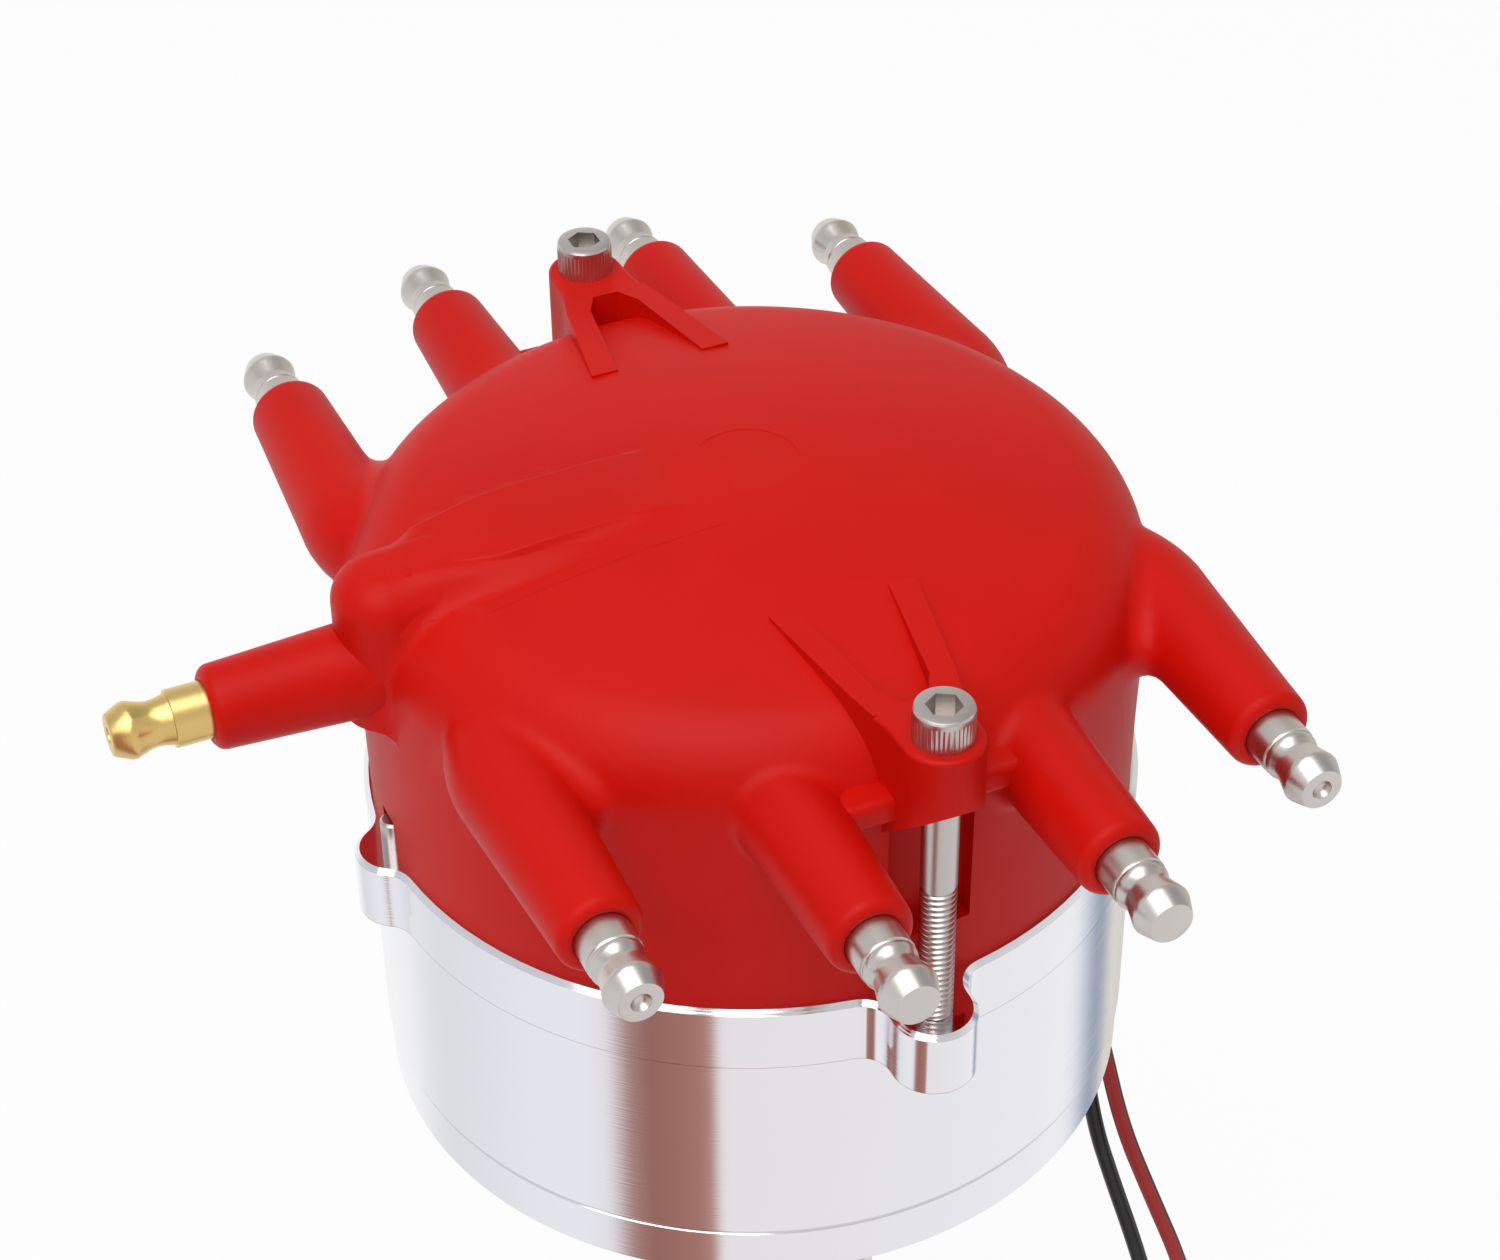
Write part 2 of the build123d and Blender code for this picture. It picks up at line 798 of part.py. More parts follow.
# ------------------------------------------------------------------ shaft line
def make_shaft():
    top = rotor_foot_z + shaft_spigot
    shaft = disc(shaft_radius, shaft_end_z, top)
    shaft = chamfer(shaft.edges().group_by(Axis.Z)[-1], 0.6)
    half = tip_slot_width / 2
    wide = shaft_radius + 1
    shaft -= block(-wide, wide, -half, half, shaft_end_z - 1, shaft_end_z + tip_slot_depth)
    shaft -= gear_pin_bar()
    shaft -= mount_pin_bar()
    return shaft


def gear_pin_bar():
    middle = gear_bottom_z + gear_pin_radius + 2.2
    return rod((0, -gear_root_radius + 0.3, middle), (0, gear_root_radius - 0.3, middle), gear_pin_radius)


def mount_pin_bar():
    middle = mount_foot_z - mount_hub_height / 2
    return rod((0, -mount_hub_radius + 0.5, middle), (0, mount_hub_radius - 0.5, middle), mount_pin_radius)


def make_drive_gear():
    """Helical gear: a tooth outline raised with a twist, with a plain pinned hub below."""
    outline = Circle(gear_root_radius)
    pitch = 2 * math.pi * gear_root_radius / gear_teeth
    root_half = pitch * 0.30
    tip_half = pitch * 0.14
    tooth = make_face(
        Polyline(
            (gear_root_radius - 1, -root_half),
            (gear_outer_radius - 0.9, -tip_half * 1.5),
            (gear_outer_radius, -tip_half),
            (gear_outer_radius, tip_half),
            (gear_outer_radius - 0.9, tip_half * 1.5),
            (gear_root_radius - 1, root_half),
            close=True,
        )
    )
    for i in range(gear_teeth):
        outline += Rot(0, 0, 360 * i / gear_teeth) * tooth
    hub_height = 2 * gear_pin_radius + 4.4
    face = outline.faces()[0]
    toothed = Solid.extrude_linear_with_rotation(
        face, (0, 0, 0), (0, 0, gear_length - hub_height), gear_twist * (1 - hub_height / gear_length)
    )
    gear = Pos(0, 0, gear_bottom_z + hub_height) * Part(toothed.wrapped)
    gear += disc(gear_root_radius, gear_bottom_z, gear_bottom_z + hub_height)
    gear -= disc(shaft_radius, gear_bottom_z - 1, gear_top_z + 1)
    gear -= gear_pin_bar()
    return gear


def make_bushings():
    inner = shaft_radius + running_clearance
    upper = ring(bushing_radius, inner, floor_z - bushing_length, floor_z)
    upper += ring(bushing_flange_radius, inner, floor_z, floor_z + bushing_flange)
    lower = ring(bushing_radius, inner, stem_bottom_z, stem_bottom_z + bushing_length)
    return upper, lower


def make_washers():
    inner = shaft_radius + 0.1
    low = floor_z + bushing_flange
    upper = ring(collar_radius, inner, low, low + washer_thickness)
    lower = ring(washer_radius, inner, stem_bottom_z - washer_thickness, stem_bottom_z)
    return upper, lower


def make_collar():
    low = floor_z + bushing_flange + washer_thickness + 0.1
    collar = ring(collar_radius, shaft_radius, low, low + collar_height)
    middle = low + collar_height / 2
    return collar - rod((0, 0, middle), (collar_radius + 1, 0, middle), set_screw_radius)


def make_collar_screw():
    low = floor_z + bushing_flange + washer_thickness + 0.1
    middle = low + collar_height / 2
    return rod((shaft_radius, 0, middle), (collar_radius - 0.3, 0, middle), set_screw_radius)


# ------------------------------------------------------------------ trigger
def make_trigger_wheel():
    low = trigger_z - vane_height / 2
    wheel = disc(vane_hub_radius, trigger_z - vane_hub_height / 2, trigger_z + vane_hub_height / 2)
    for i in range(vane_count):
        angle = pickup_angle + 360 * i / vane_count
        half = vane_width / 2
        vane = block(vane_hub_radius - 1, vane_radius, -half, half, low, low + vane_height)
        wheel += Rot(0, 0, angle) * vane
    return wheel - disc(shaft_radius, trigger_z - vane_hub_height, trigger_z + vane_hub_height)


def pickup_start():
    return vane_radius + air_gap


def make_pole_piece():
    half = pole_width / 2
    start = pickup_start()
    bar = block(start, start + pole_length + coil_length, -half, half, trigger_z - half, trigger_z + half)
    return Rot(0, 0, pickup_angle) * bar


def coil_span():
    start = pickup_start() + pole_length
    return start, start + coil_length, start + coil_length + block_length


def make_pickup_coil():
    start, end, back = coil_span()
    coil = rod(along(pickup_angle, start, 0, trigger_z), along(pickup_angle, end, 0, trigger_z), coil_radius)
    half = block_width / 2
    rear = block(end, back, -half, half, trigger_z - block_height / 2, trigger_z + block_height / 2)
    coil += Rot(0, 0, pickup_angle) * rear
    return coil - make_pole_piece()


def make_pickup_bracket():
    start, end, back = coil_span()
    half = block_width / 2
    saddle = block(start, end, -half, half, plate_top_z, trigger_z - 1.5)
    feet = block(start, end, -half - 6, half + 6, plate_top_z, plate_top_z + 1.5)
    bracket = Rot(0, 0, pickup_angle) * (saddle + feet)
    near = along(pickup_angle, start - 1, 0, trigger_z)
    far = along(pickup_angle, end + 1, 0, trigger_z)
    bracket -= rod(near, far, coil_radius)
    for spot in bracket_screw_spots():
        bracket -= disc(small_screw_radius, plate_top_z - 1, plate_top_z + 3, spot[0], spot[1])
    return bracket


def bracket_screw_spots():
    start, end, back = coil_span()
    middle = (start + end) / 2
    side = block_width / 2 + 3
    return [along(pickup_angle, middle, -side), along(pickup_angle, middle, side)]


def plate_screw_spots():
    return [along(90, plate_screw_circle), along(-90, plate_screw_circle)]


def small_screw(x, y, seat, depth):
    """Short pan head screw."""
    head = disc(small_head_radius, seat, seat + small_head_height, x, y)
    head = fillet(head.edges().group_by(Axis.Z)[-1], 0.6)
    return head + disc(small_screw_radius, seat - depth, seat, x, y)


def make_pickup_plate():
    plate = ring(bowl_bore - slip, plate_bore, ledge_z, plate_top_z)
    for spot in plate_screw_spots() + bracket_screw_spots():
        plate -= disc(small_screw_radius, ledge_z - 1, plate_top_z + 1, spot[0], spot[1])
    return plate


# ------------------------------------------------------------------ rotor
def make_rotor_mount():
    hub = disc(mount_hub_radius, mount_foot_z - mount_hub_height, mount_foot_z)
    hub += disc(mount_flange_radius, mount_foot_z, rotor_foot_z)
    hub -= disc(shaft_radius, mount_foot_z - mount_hub_height - 1, rotor_foot_z + 1)
    hub -= mount_pin_bar()
    for y in (-rotor_screw_circle, rotor_screw_circle):
        hub -= disc(small_screw_radius, mount_foot_z - 1, rotor_foot_z + 1, 0, y)
    return hub


def make_rotor():
    top = blade_bottom_z
    rotor = turned(
        [
            (0, rotor_foot_z),
            (rotor_foot_radius, rotor_foot_z),
            (rotor_foot_radius, rotor_foot_z + 3),
            (rotor_waist_radius + 5, rotor_foot_z + 5),
            (rotor_waist_radius + 5, rotor_foot_z + 6.5),
            (rotor_radius, top - rotor_rim + 1),
            (rotor_radius, top - 0.8),
            (rotor_radius - 0.8, top),
            (0, top),
        ]
    )
    rotor -= disc(shaft_radius + slip, rotor_foot_z - 1, rotor_foot_z + shaft_spigot + 0.2)
    for y in (-rotor_screw_circle, rotor_screw_circle):
        rotor -= disc(small_screw_radius, rotor_foot_z - 1, top + 1, 0, y)
        rotor -= disc(small_head_radius + 0.4, top - rotor_screw_depth, top + 1, 0, y)
    return rotor


def make_rotor_blade():
    half = blade_width / 2
    blade = block(-blade_tail, rotor_tip_radius, -half, half, blade_bottom_z, blade_top_z)
    tip_half = tip_width / 2
    low = blade_top_z - tip_drop
    blade += block(rotor_radius + 0.1, rotor_tip_radius, -tip_half, tip_half, low, blade_top_z)
    return blade


def make_rotor_screws():
    seat = blade_bottom_z - rotor_screw_depth
    depth = seat - mount_foot_z
    return group([small_screw(0, y, seat, depth) for y in (-rotor_screw_circle, rotor_screw_circle)])


# ------------------------------------------------------------------ leads
def lead_start(side):
    start, end, back = coil_span()
    return along(pickup_angle, back, side, trigger_z)


red_route = [
    lead_start(-lead_spacing / 2),
    along(pickup_angle, lead_exit, -lead_spacing / 2, trigger_z),
    (56.5, 28.5, 33),
    (60.0, 25.0, 14),
    (60.9, 14.6, -6),
    (56.9, 2.6, -20.5),
    (55.1, -4.4, -29.5),
    (57.0, -10.5, -38.5),
    (59.7, -16.2, -49),
    (61.9, -19.9, -63),
    (61.1, -20.9, -81),
    (61.5, -18.4, -98),
    (61.3, -17.8, -112),
]

black_route = [
    lead_start(lead_spacing / 2),
    along(pickup_angle, lead_exit, lead_spacing / 2, trigger_z),
    (53.5, 33.5, 33),
    (56.0, 30.5, 14),
    (56.9, 18.1, -7),
    (53.9, 5.1, -21),
    (52.1, -1.4, -30),
    (53.7, -5.0, -39),
    (55.7, -9.9, -49.5),
    (57.9, -14.4, -63),
    (57.5, -16.4, -81),
    (58.6, -15.5, -98),
    (58.5, -15.0, -112),
]

connector_top_z = red_route[-1][2] + connector_socket


def make_lead(name, route):
    """Round lead along straight runs joined by arcs as large as the runs allow."""
    points = [Vector(*p) for p in route]
    radii = []
    for before, here, after in zip(points, points[1:], points[2:]):
        turn = math.radians((here - before).get_angle(after - here))
        shorter = min((here - before).length, (after - here).length)
        radii.append(0.45 * shorter / math.tan(turn / 2))
    path = FilletPolyline(*points, radius=radii)
    section = Plane(origin=path @ 0, z_dir=path % 0) * Circle(lead_radius)
    lead = sweep(section, path=path)
    length = path.length
    expected = math.pi * lead_radius**2 * length
    print(name, "length", round(length, 1), "volume ratio", round(lead.volume / expected, 4))
    print("  arc radii", [round(r, 1) for r in radii])
    return lead


def make_grommet():
    """Rubber grommet in the housing wall, with one hole for each lead."""
    inner = along(pickup_angle, bowl_bore - grommet_flange, 0, trigger_z)
    outer = along(pickup_angle, wall_radius + grommet_flange, 0, trigger_z)
    wall_face = along(pickup_angle, wall_radius + 0.05, 0, trigger_z)
    grommet = rod(inner, outer, grommet_radius)
    grommet += rod(wall_face, outer, grommet_flange_radius)
    for side in (-lead_spacing / 2, lead_spacing / 2):
        start = along(pickup_angle, bowl_bore - 5, side, trigger_z)
        end = along(pickup_angle, wall_radius + 5, side, trigger_z)
        grommet -= rod(start, end, lead_radius + lead_hole_clearance)
    return grommet


def make_connector():
    """Two-way plug that the leads go into, with a latch on one side."""
    red, black = red_route[-1], black_route[-1]
    x = (red[0] + black[0]) / 2
    y = (red[1] + black[1]) / 2
    angle = math.degrees(math.atan2(red[1] - black[1], red[0] - black[0]))
    half_w, half_d = connector_width / 2, connector_depth / 2
    body = block(-half_w, half_w, -half_d, half_d, -connector_length, 0)
    body = fillet(body.edges().filter_by(Axis.Z), 1.2)
    mouth_top = -connector_length + connector_mouth
    mouth = block(-half_w + 1.3, half_w - 1.3, -half_d + 1.3, half_d - 1.3, -connector_length - 1, mouth_top)
    body -= mouth
    body += block(-2.5, 2.5, half_d - 0.5, half_d + 1.6, -connector_length + 2, -6)
    body = Pos(x, y, connector_top_z) * Rot(0, 0, angle) * body
    low = connector_top_z - connector_socket - connector_socket_clearance
    for point in (red, black):
        body -= disc(lead_radius + connector_socket_clearance, low, connector_top_z + 1, point[0], point[1])
    return body


# ------------------------------------------------------------------ nodes
electrodes = [electrode(*place) for place in tower_places]
link = coil_link()
nodes["housing"] = make_housing()
nodes["stem_o_rings"] = make_o_rings()
nodes["locating_dowels"] = make_dowels()
nodes["cap"] = make_cap(electrodes, link)
nodes["cap_screws"] = make_cap_screws()
for number, place in enumerate(tower_places, start=1):
    nodes["plug_terminal_" + str(number)] = terminal(*tower_end(*place), holed=place[2])
nodes["coil_terminal"] = terminal((-coil_tower_end, 0, tower_z), (-1, 0, 0), holed=True)
nodes["electrodes"] = group(electrodes)
nodes["coil_link"] = link
nodes["carbon_brush"] = make_brush()
nodes["brush_spring"] = make_brush_spring()
nodes["shaft"] = make_shaft()
nodes["upper_bushing"], nodes["lower_bushing"] = make_bushings()
nodes["upper_thrust_washer"], nodes["lower_thrust_washer"] = make_washers()
nodes["shaft_collar"] = make_collar()
nodes["collar_set_screw"] = make_collar_screw()
nodes["drive_gear"] = make_drive_gear()
nodes["gear_pin"] = gear_pin_bar()
nodes["trigger_wheel"] = make_trigger_wheel()
nodes["pickup_pole_piece"] = make_pole_piece()
nodes["pickup_coil"] = make_pickup_coil()
nodes["pickup_bracket"] = make_pickup_bracket()
nodes["pickup_plate"] = make_pickup_plate()
foot_z = plate_top_z + plate_thickness
pickup_screws = [small_screw(s[0], s[1], foot_z, pickup_screw_depth) for s in bracket_screw_spots()]
nodes["pickup_screws"] = group(pickup_screws)
plate_screws = [small_screw(s[0], s[1], plate_top_z, plate_screw_depth) for s in plate_screw_spots()]
nodes["plate_screws"] = group(plate_screws)
nodes["rotor_mount"] = make_rotor_mount()
nodes["mount_pin"] = mount_pin_bar()
nodes["rotor"] = make_rotor()
nodes["rotor_blade"] = make_rotor_blade()
nodes["rotor_screws"] = make_rotor_screws()
nodes["lead_grommet"] = make_grommet()
nodes["red_lead"] = make_lead("red_lead", red_route)
nodes["black_lead"] = make_lead("black_lead", black_route)
nodes["lead_connector"] = make_connector()

for name, shape in nodes.items():
    export_step(shape, "parts/" + name + ".step")
print(len(nodes), "nodes; overall height", round(cap_top_z - shaft_end_z, 1))
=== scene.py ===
# %% [markdown]
# An ignition distributor stands on its engine by a long stem, so it is drawn here as it
# sits in use: shaft upright, cap on top. The measured solids come in first, as one frame
# that nothing may move. Everything that follows is dressed onto that frame.

import math

import bmesh
import bpy
from mathutils import Matrix, Vector
from mathutils.bvhtree import BVHTree


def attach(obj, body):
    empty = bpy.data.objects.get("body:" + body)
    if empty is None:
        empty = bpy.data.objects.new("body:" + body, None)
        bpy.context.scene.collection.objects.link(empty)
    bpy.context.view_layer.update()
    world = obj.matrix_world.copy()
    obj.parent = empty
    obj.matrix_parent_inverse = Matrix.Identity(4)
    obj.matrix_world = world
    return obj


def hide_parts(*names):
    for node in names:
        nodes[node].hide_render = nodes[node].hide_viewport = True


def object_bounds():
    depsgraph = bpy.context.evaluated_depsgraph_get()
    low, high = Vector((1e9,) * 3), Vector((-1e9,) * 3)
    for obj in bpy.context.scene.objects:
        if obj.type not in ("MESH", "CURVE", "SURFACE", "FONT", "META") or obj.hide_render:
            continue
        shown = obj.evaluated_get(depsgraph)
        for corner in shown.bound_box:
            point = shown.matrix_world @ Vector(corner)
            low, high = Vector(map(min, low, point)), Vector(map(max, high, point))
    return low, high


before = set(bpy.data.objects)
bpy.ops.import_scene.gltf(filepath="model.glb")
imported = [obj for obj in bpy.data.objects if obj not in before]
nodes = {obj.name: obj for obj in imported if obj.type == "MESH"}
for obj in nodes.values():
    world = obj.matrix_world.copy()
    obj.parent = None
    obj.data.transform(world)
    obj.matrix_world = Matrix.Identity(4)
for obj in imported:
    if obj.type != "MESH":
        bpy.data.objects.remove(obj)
cad_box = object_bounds()
MM = 0.001
print("nodes:", len(nodes), "box:", cad_box)

# %% [markdown]
# The camera looks down on the cap with the coil tower to its left. It is a long lens, so
# the rim stays close to a true ellipse. Azimuth is measured round the shaft from +X, and
# the camera is aimed at a point a little above the rim of the housing.

# %% Stand the camera
CAMERA_AZIMUTH = math.radians(-113.4)
CAMERA_ELEVATION = math.radians(37.848)
CAMERA_ROLL = math.radians(-0.68)
CAMERA_DISTANCE = 412.36 * MM
RIM_HEIGHT = 57.4 * MM
AIM_RIGHT = -0.07 * MM
AIM_UP = 13.72 * MM
LENS = 80.75

back = Vector((
    math.cos(CAMERA_ELEVATION) * math.cos(CAMERA_AZIMUTH),
    math.cos(CAMERA_ELEVATION) * math.sin(CAMERA_AZIMUTH),
    math.sin(CAMERA_ELEVATION),
))
level_right = Vector((-math.sin(CAMERA_AZIMUTH), math.cos(CAMERA_AZIMUTH), 0))
level_up = back.cross(level_right)
right = math.cos(CAMERA_ROLL) * level_right + math.sin(CAMERA_ROLL) * level_up
up = math.cos(CAMERA_ROLL) * level_up - math.sin(CAMERA_ROLL) * level_right
aim = Vector((0, 0, RIM_HEIGHT)) + right * AIM_RIGHT + up * AIM_UP
place = aim + back * CAMERA_DISTANCE

camera_data = bpy.data.cameras.new("camera")
camera_data.lens = LENS
camera_data.sensor_width = 36
camera_data.sensor_fit = "HORIZONTAL"
camera_data.clip_start = 0.01
camera_data.clip_end = 20
camera = bpy.data.objects.new("camera", camera_data)
camera.matrix_world = Matrix((
    (right.x, up.x, back.x, place.x),
    (right.y, up.y, back.y, place.y),
    (right.z, up.z, back.z, place.z),
    (0, 0, 0, 1),
))
bpy.context.scene.collection.objects.link(camera)
bpy.context.scene.camera = camera
print("camera at", tuple(round(c, 3) for c in place))

# %% [markdown]
# Colours are read off as sRGB hex values, but Blender's shaders count in linear light.
# One function turns the first into the second, one adds a node with its settings, and one
# starts an empty material.

# %% Three small helpers for materials
def linear(hex_colour):
    """sRGB hex text to the linear RGBA that a shader socket takes."""
    channels = [int(hex_colour[i:i + 2], 16) / 255 for i in (0, 2, 4)]
    return [c / 12.92 if c <= 0.04045 else ((c + 0.055) / 1.055) ** 2.4 for c in channels] + [1]


def add_node(tree, kind, sockets=None, **settings):
    """Adds a node, sets it up, and links or fills each socket named."""
    node = tree.nodes.new("ShaderNode" + kind)
    for name, value in settings.items():
        setattr(node, name, value)
    for name, value in (sockets or {}).items():
        if isinstance(value, bpy.types.NodeSocket):
            tree.links.new(value, node.inputs[name])
        else:
            node.inputs[name].default_value = value
    return node


def new_material(name):
    """An empty node material with its output node, ready to be wired."""
    material = bpy.data.materials.new(name)
    material.use_nodes = True
    tree = material.node_tree
    tree.nodes.clear()
    return material, tree, add_node(tree, "OutputMaterial")


print("half grey in linear light:", round(linear("808080")[0], 3))

# %% [markdown]
# The leads are the pickup's two wires, and they leave through a grommet in the housing wall.
# Low down the points of their routes are those of the solid leads, and beside the bowl they
# lie up to 5 mm closer to it.

# %% Route the two leads
GROMMET_TURN = math.radians(30)
GROMMET_HEIGHT = 42
GROMMET_HALF_SPACING = 1.7
LEAD_START = 37.7
STRAIGHT_END = 57


def from_wall(distance, side):
    """A point out from the shaft through the grommet, shifted sideways, in millimetres."""
    return (distance * math.cos(GROMMET_TURN) - side * math.sin(GROMMET_TURN),
            distance * math.sin(GROMMET_TURN) + side * math.cos(GROMMET_TURN), GROMMET_HEIGHT)


def out_of_grommet(side):
    """The straight first stretch of a lead."""
    return [from_wall(LEAD_START, side), from_wall(STRAIGHT_END, side)]


red_route = out_of_grommet(-GROMMET_HALF_SPACING) + [
    (53.2, 30.0, 33), (55.2, 27.1, 14), (56.7, 16.4, -6), (55.6, 3.2, -20.5),
    (55.1, -4.4, -29.5), (57.0, -10.5, -38.5), (59.7, -16.2, -49), (61.9, -19.9, -63),
    (61.1, -20.9, -81), (61.5, -18.4, -98), (61.3, -17.8, -112),
]
black_route = out_of_grommet(GROMMET_HALF_SPACING) + [
    (53.6, 33.4, 33), (55.8, 31.3, 13.4), (57.0, 19.3, -8.0), (53.8, 6.0, -21.6),
    (52.1, -1.4, -30), (53.7, -5.0, -39), (55.7, -9.9, -49.5), (57.9, -14.4, -63),
    (57.5, -16.4, -81), (58.6, -15.5, -98), (58.5, -15.0, -112),
]
print("points on the routes:", len(red_route), len(black_route))

# %% [markdown]
# Wire of this size bends under its own springiness, so it takes wide curves and never a
# kink. A spline that only leans towards the points gives the line its ease.

# %% Lay the two leads
LEAD_DIAMETER = 2.3 * MM


def lead_curve(name, route, radius):
    """A smooth curve that leans towards the route's points, round if it has a radius."""
    curve = bpy.data.curves.new(name, "CURVE")
    curve.dimensions = "3D"
    curve.resolution_u = 12
    spline = curve.splines.new("NURBS")
    spline.points.add(len(route) - 1)
    for point, spot in zip(spline.points, route):
        point.co = [c * MM for c in spot] + [1]
    spline.order_u = 3
    spline.use_endpoint_u = True
    curve.bevel_depth = radius
    curve.bevel_resolution = 6
    curve.use_fill_caps = radius > 0
    return bpy.data.objects.new(name, curve)


def lead(name, route, node):
    """A wire as a mesh tube, so that its stripe can follow the tube's own map."""
    line = bpy.data.meshes.new_from_object(lead_curve(name + "_line", route, 0))
    tube = bpy.data.meshes.new_from_object(lead_curve(name + "_tube", route, LEAD_DIAMETER / 2))
    tube.shade_smooth()
    piece = bpy.data.objects.new(name, tube)
    bpy.context.scene.collection.objects.link(piece)
    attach(piece, "housing")
    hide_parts(node)
    return piece


red_lead = lead("red_lead_wire", red_route, "red_lead")
black_lead = lead("black_lead_wire", black_route, "black_lead")

# %% [markdown]
# The housing is turned from a bar of 6061 aluminium and polished. A lathe leaves rings
# round the axis, finer than a hair, and they smear every reflection up and down the wall.
# The real rings are about 0.1 mm apart; they are drawn at 0.3 mm so that they still show.

# %% Turned and polished aluminium
def metal(name, hex_colour, roughness, ring_pitch, ring_depth, axis="Z", mottle=0.04):
    """A bright metal with lathe rings along the axis that it was turned on."""
    material, tree, out = new_material(name)
    where = add_node(tree, "TexCoord").outputs["Object"]
    split = add_node(tree, "SeparateXYZ", {"Vector": where})
    rings = add_node(tree, "TexNoise", {"W": split.outputs[axis], "Scale": 1 / ring_pitch,
                                        "Detail": 2.0, "Roughness": 0.6}, noise_dimensions="1D")
    cloud = add_node(tree, "TexNoise", {"Vector": where, "Scale": 90.0, "Detail": 3.0})
    rough = add_node(tree, "MapRange", {"Value": cloud.outputs["Fac"],
                                        "To Min": roughness - mottle, "To Max": roughness + mottle})
    bump = add_node(tree, "Bump", {"Height": rings.outputs["Fac"], "Strength": 0.35,
                                   "Distance": ring_depth})
    shader = add_node(tree, "BsdfPrincipled", {
        "Base Color": linear(hex_colour), "Metallic": 1.0,
        "Roughness": rough.outputs["Result"], "Normal": bump.outputs["Normal"]})
    tree.links.new(shader.outputs["BSDF"], out.inputs["Surface"])
    return material


BARE_WALL = "EAEAED"

billet_aluminium = metal("turned_polished_aluminium", BARE_WALL, 0.10, 0.3 * MM, 0.06 * MM, mottle=0.02)
stainless = metal("turned_stainless_steel", "CFCAC4", 0.31, 0.25 * MM, 0.02 * MM, axis="Y")
screw_steel = metal("stainless_screw_steel", "C2BCB8", 0.30, 0.25 * MM, 0.01 * MM)
zinc_plate = metal("zinc_plated_steel", "BDBDB6", 0.34, 0.6 * MM, 0.01 * MM)
ground_steel = metal("ground_steel", "A9A9AC", 0.26, 0.2 * MM, 0.01 * MM)
machined_iron = metal("machined_iron", "6E6E70", 0.42, 0.5 * MM, 0.03 * MM)
turned_brass = metal("turned_brass", "DEBF78", 0.29, 0.25 * MM, 0.02 * MM, axis="X")
sintered_bronze = metal("sintered_bronze", "A9794B", 0.45, 0.4 * MM, 0.02 * MM)

print("metals:", [m.name for m in bpy.data.materials])

# %% [markdown]
# The tool that turned the wall stopped under the ears and left one fine line there. The
# line is too shallow to be a shape, so a narrow band of painted reflection, a warmer pinkish
# tone, lies at its height.

# %% Paint a reflection along the tool's last line on the wall
LINE_HEIGHT = 48.7
LINE_REACH = 0.5
# These tones are a painted reflection: a pinkish band across the bare wall.
PAINTED_REFLECTION_TONES = ((0.36, BARE_WALL), (0.42, "BFA9A6"), (0.56, "C8B6B4"), (0.64, BARE_WALL))

tree = billet_aluminium.node_tree
height = add_node(tree, "SeparateXYZ", {"Vector": add_node(tree, "TexCoord").outputs["Object"]})
line = add_node(tree, "MapRange", {"Value": height.outputs["Z"],
                                   "From Min": (LINE_HEIGHT - LINE_REACH) * MM,
                                   "From Max": (LINE_HEIGHT + LINE_REACH) * MM})
# The ramp paints that reflection into the wall's base colour.
painted_reflection = add_node(tree, "ValToRGB", {"Fac": line.outputs["Result"]})
for spot, hex_colour in PAINTED_REFLECTION_TONES:
    painted_reflection.color_ramp.elements.new(spot).color = linear(hex_colour)
for end in (painted_reflection.color_ramp.elements[0], painted_reflection.color_ramp.elements[-1]):
    end.color = linear(BARE_WALL)
tree.links.new(painted_reflection.outputs["Color"], tree.nodes["Principled BSDF"].inputs["Base Color"])
print("line at", LINE_HEIGHT)

# %% [markdown]
# The cap is glass-filled polyester, moulded in a polished tool. Its skin is an even, strong
# red with a soft sheen, a little orange-peel where it cooled, and a few fine specks.

# %% Moulded plastics and rubber
def moulded(name, hex_colour, hex_shade, roughness, grain, depth, specular=0.5):
    """A moulded skin: two close colours in soft clouds and a fine pebble."""
    material, tree, out = new_material(name)
    where = add_node(tree, "TexCoord").outputs["Object"]
    cloud = add_node(tree, "TexNoise", {"Vector": where, "Scale": 38.0, "Detail": 2.0})
    tone = add_node(tree, "ValToRGB", {"Fac": cloud.outputs["Fac"]})
    tone.color_ramp.elements[0].position = 0.35
    tone.color_ramp.elements[0].color = linear(hex_shade)
    tone.color_ramp.elements[1].position = 0.65
    tone.color_ramp.elements[1].color = linear(hex_colour)
    pebble = add_node(tree, "TexNoise", {"Vector": where, "Scale": 1 / grain, "Detail": 2.0})
    bump = add_node(tree, "Bump", {"Height": pebble.outputs["Fac"], "Strength": 0.25,
                                   "Distance": depth})
    rough = add_node(tree, "MapRange", {"Value": cloud.outputs["Fac"],
                                        "To Min": roughness - 0.04, "To Max": roughness + 0.04})
    shader = add_node(tree, "BsdfPrincipled", {
        "Base Color": tone.outputs["Color"], "Roughness": rough.outputs["Result"],
        "Specular IOR Level": specular, "Normal": bump.outputs["Normal"]})
    tree.links.new(shader.outputs["BSDF"], out.inputs["Surface"])
    return material


red_polyester = moulded("moulded_red_polyester", "D01105", "C90E04", 0.46, 0.9 * MM, 0.03 * MM,
                        specular=0.15)
black_nylon = moulded("moulded_black_nylon", "1B1B1C", "161617", 0.45, 0.6 * MM, 0.03 * MM)
nitrile_rubber = moulded("nitrile_rubber", "161616", "121212", 0.65, 0.5 * MM, 0.03 * MM)
pressed_carbon = moulded("pressed_carbon", "242424", "1E1E1E", 0.55, 0.3 * MM, 0.02 * MM)
black_pvc = moulded("black_pvc_insulation", "17181A", "131416", 0.38, 0.8 * MM, 0.01 * MM)
print("plastics:", [m.name for m in (red_polyester, black_nylon, nitrile_rubber,
                                     pressed_carbon, black_pvc)])

# %% [markdown]
# One of the two wires is red PVC with a black tracer: one dark stripe run into the skin along
# its length. The stripe follows the tube's own map, where one direction goes round it.

# %% Red insulation with its tracer stripe
STRIPE_START = 0.12
STRIPE_END = 0.45

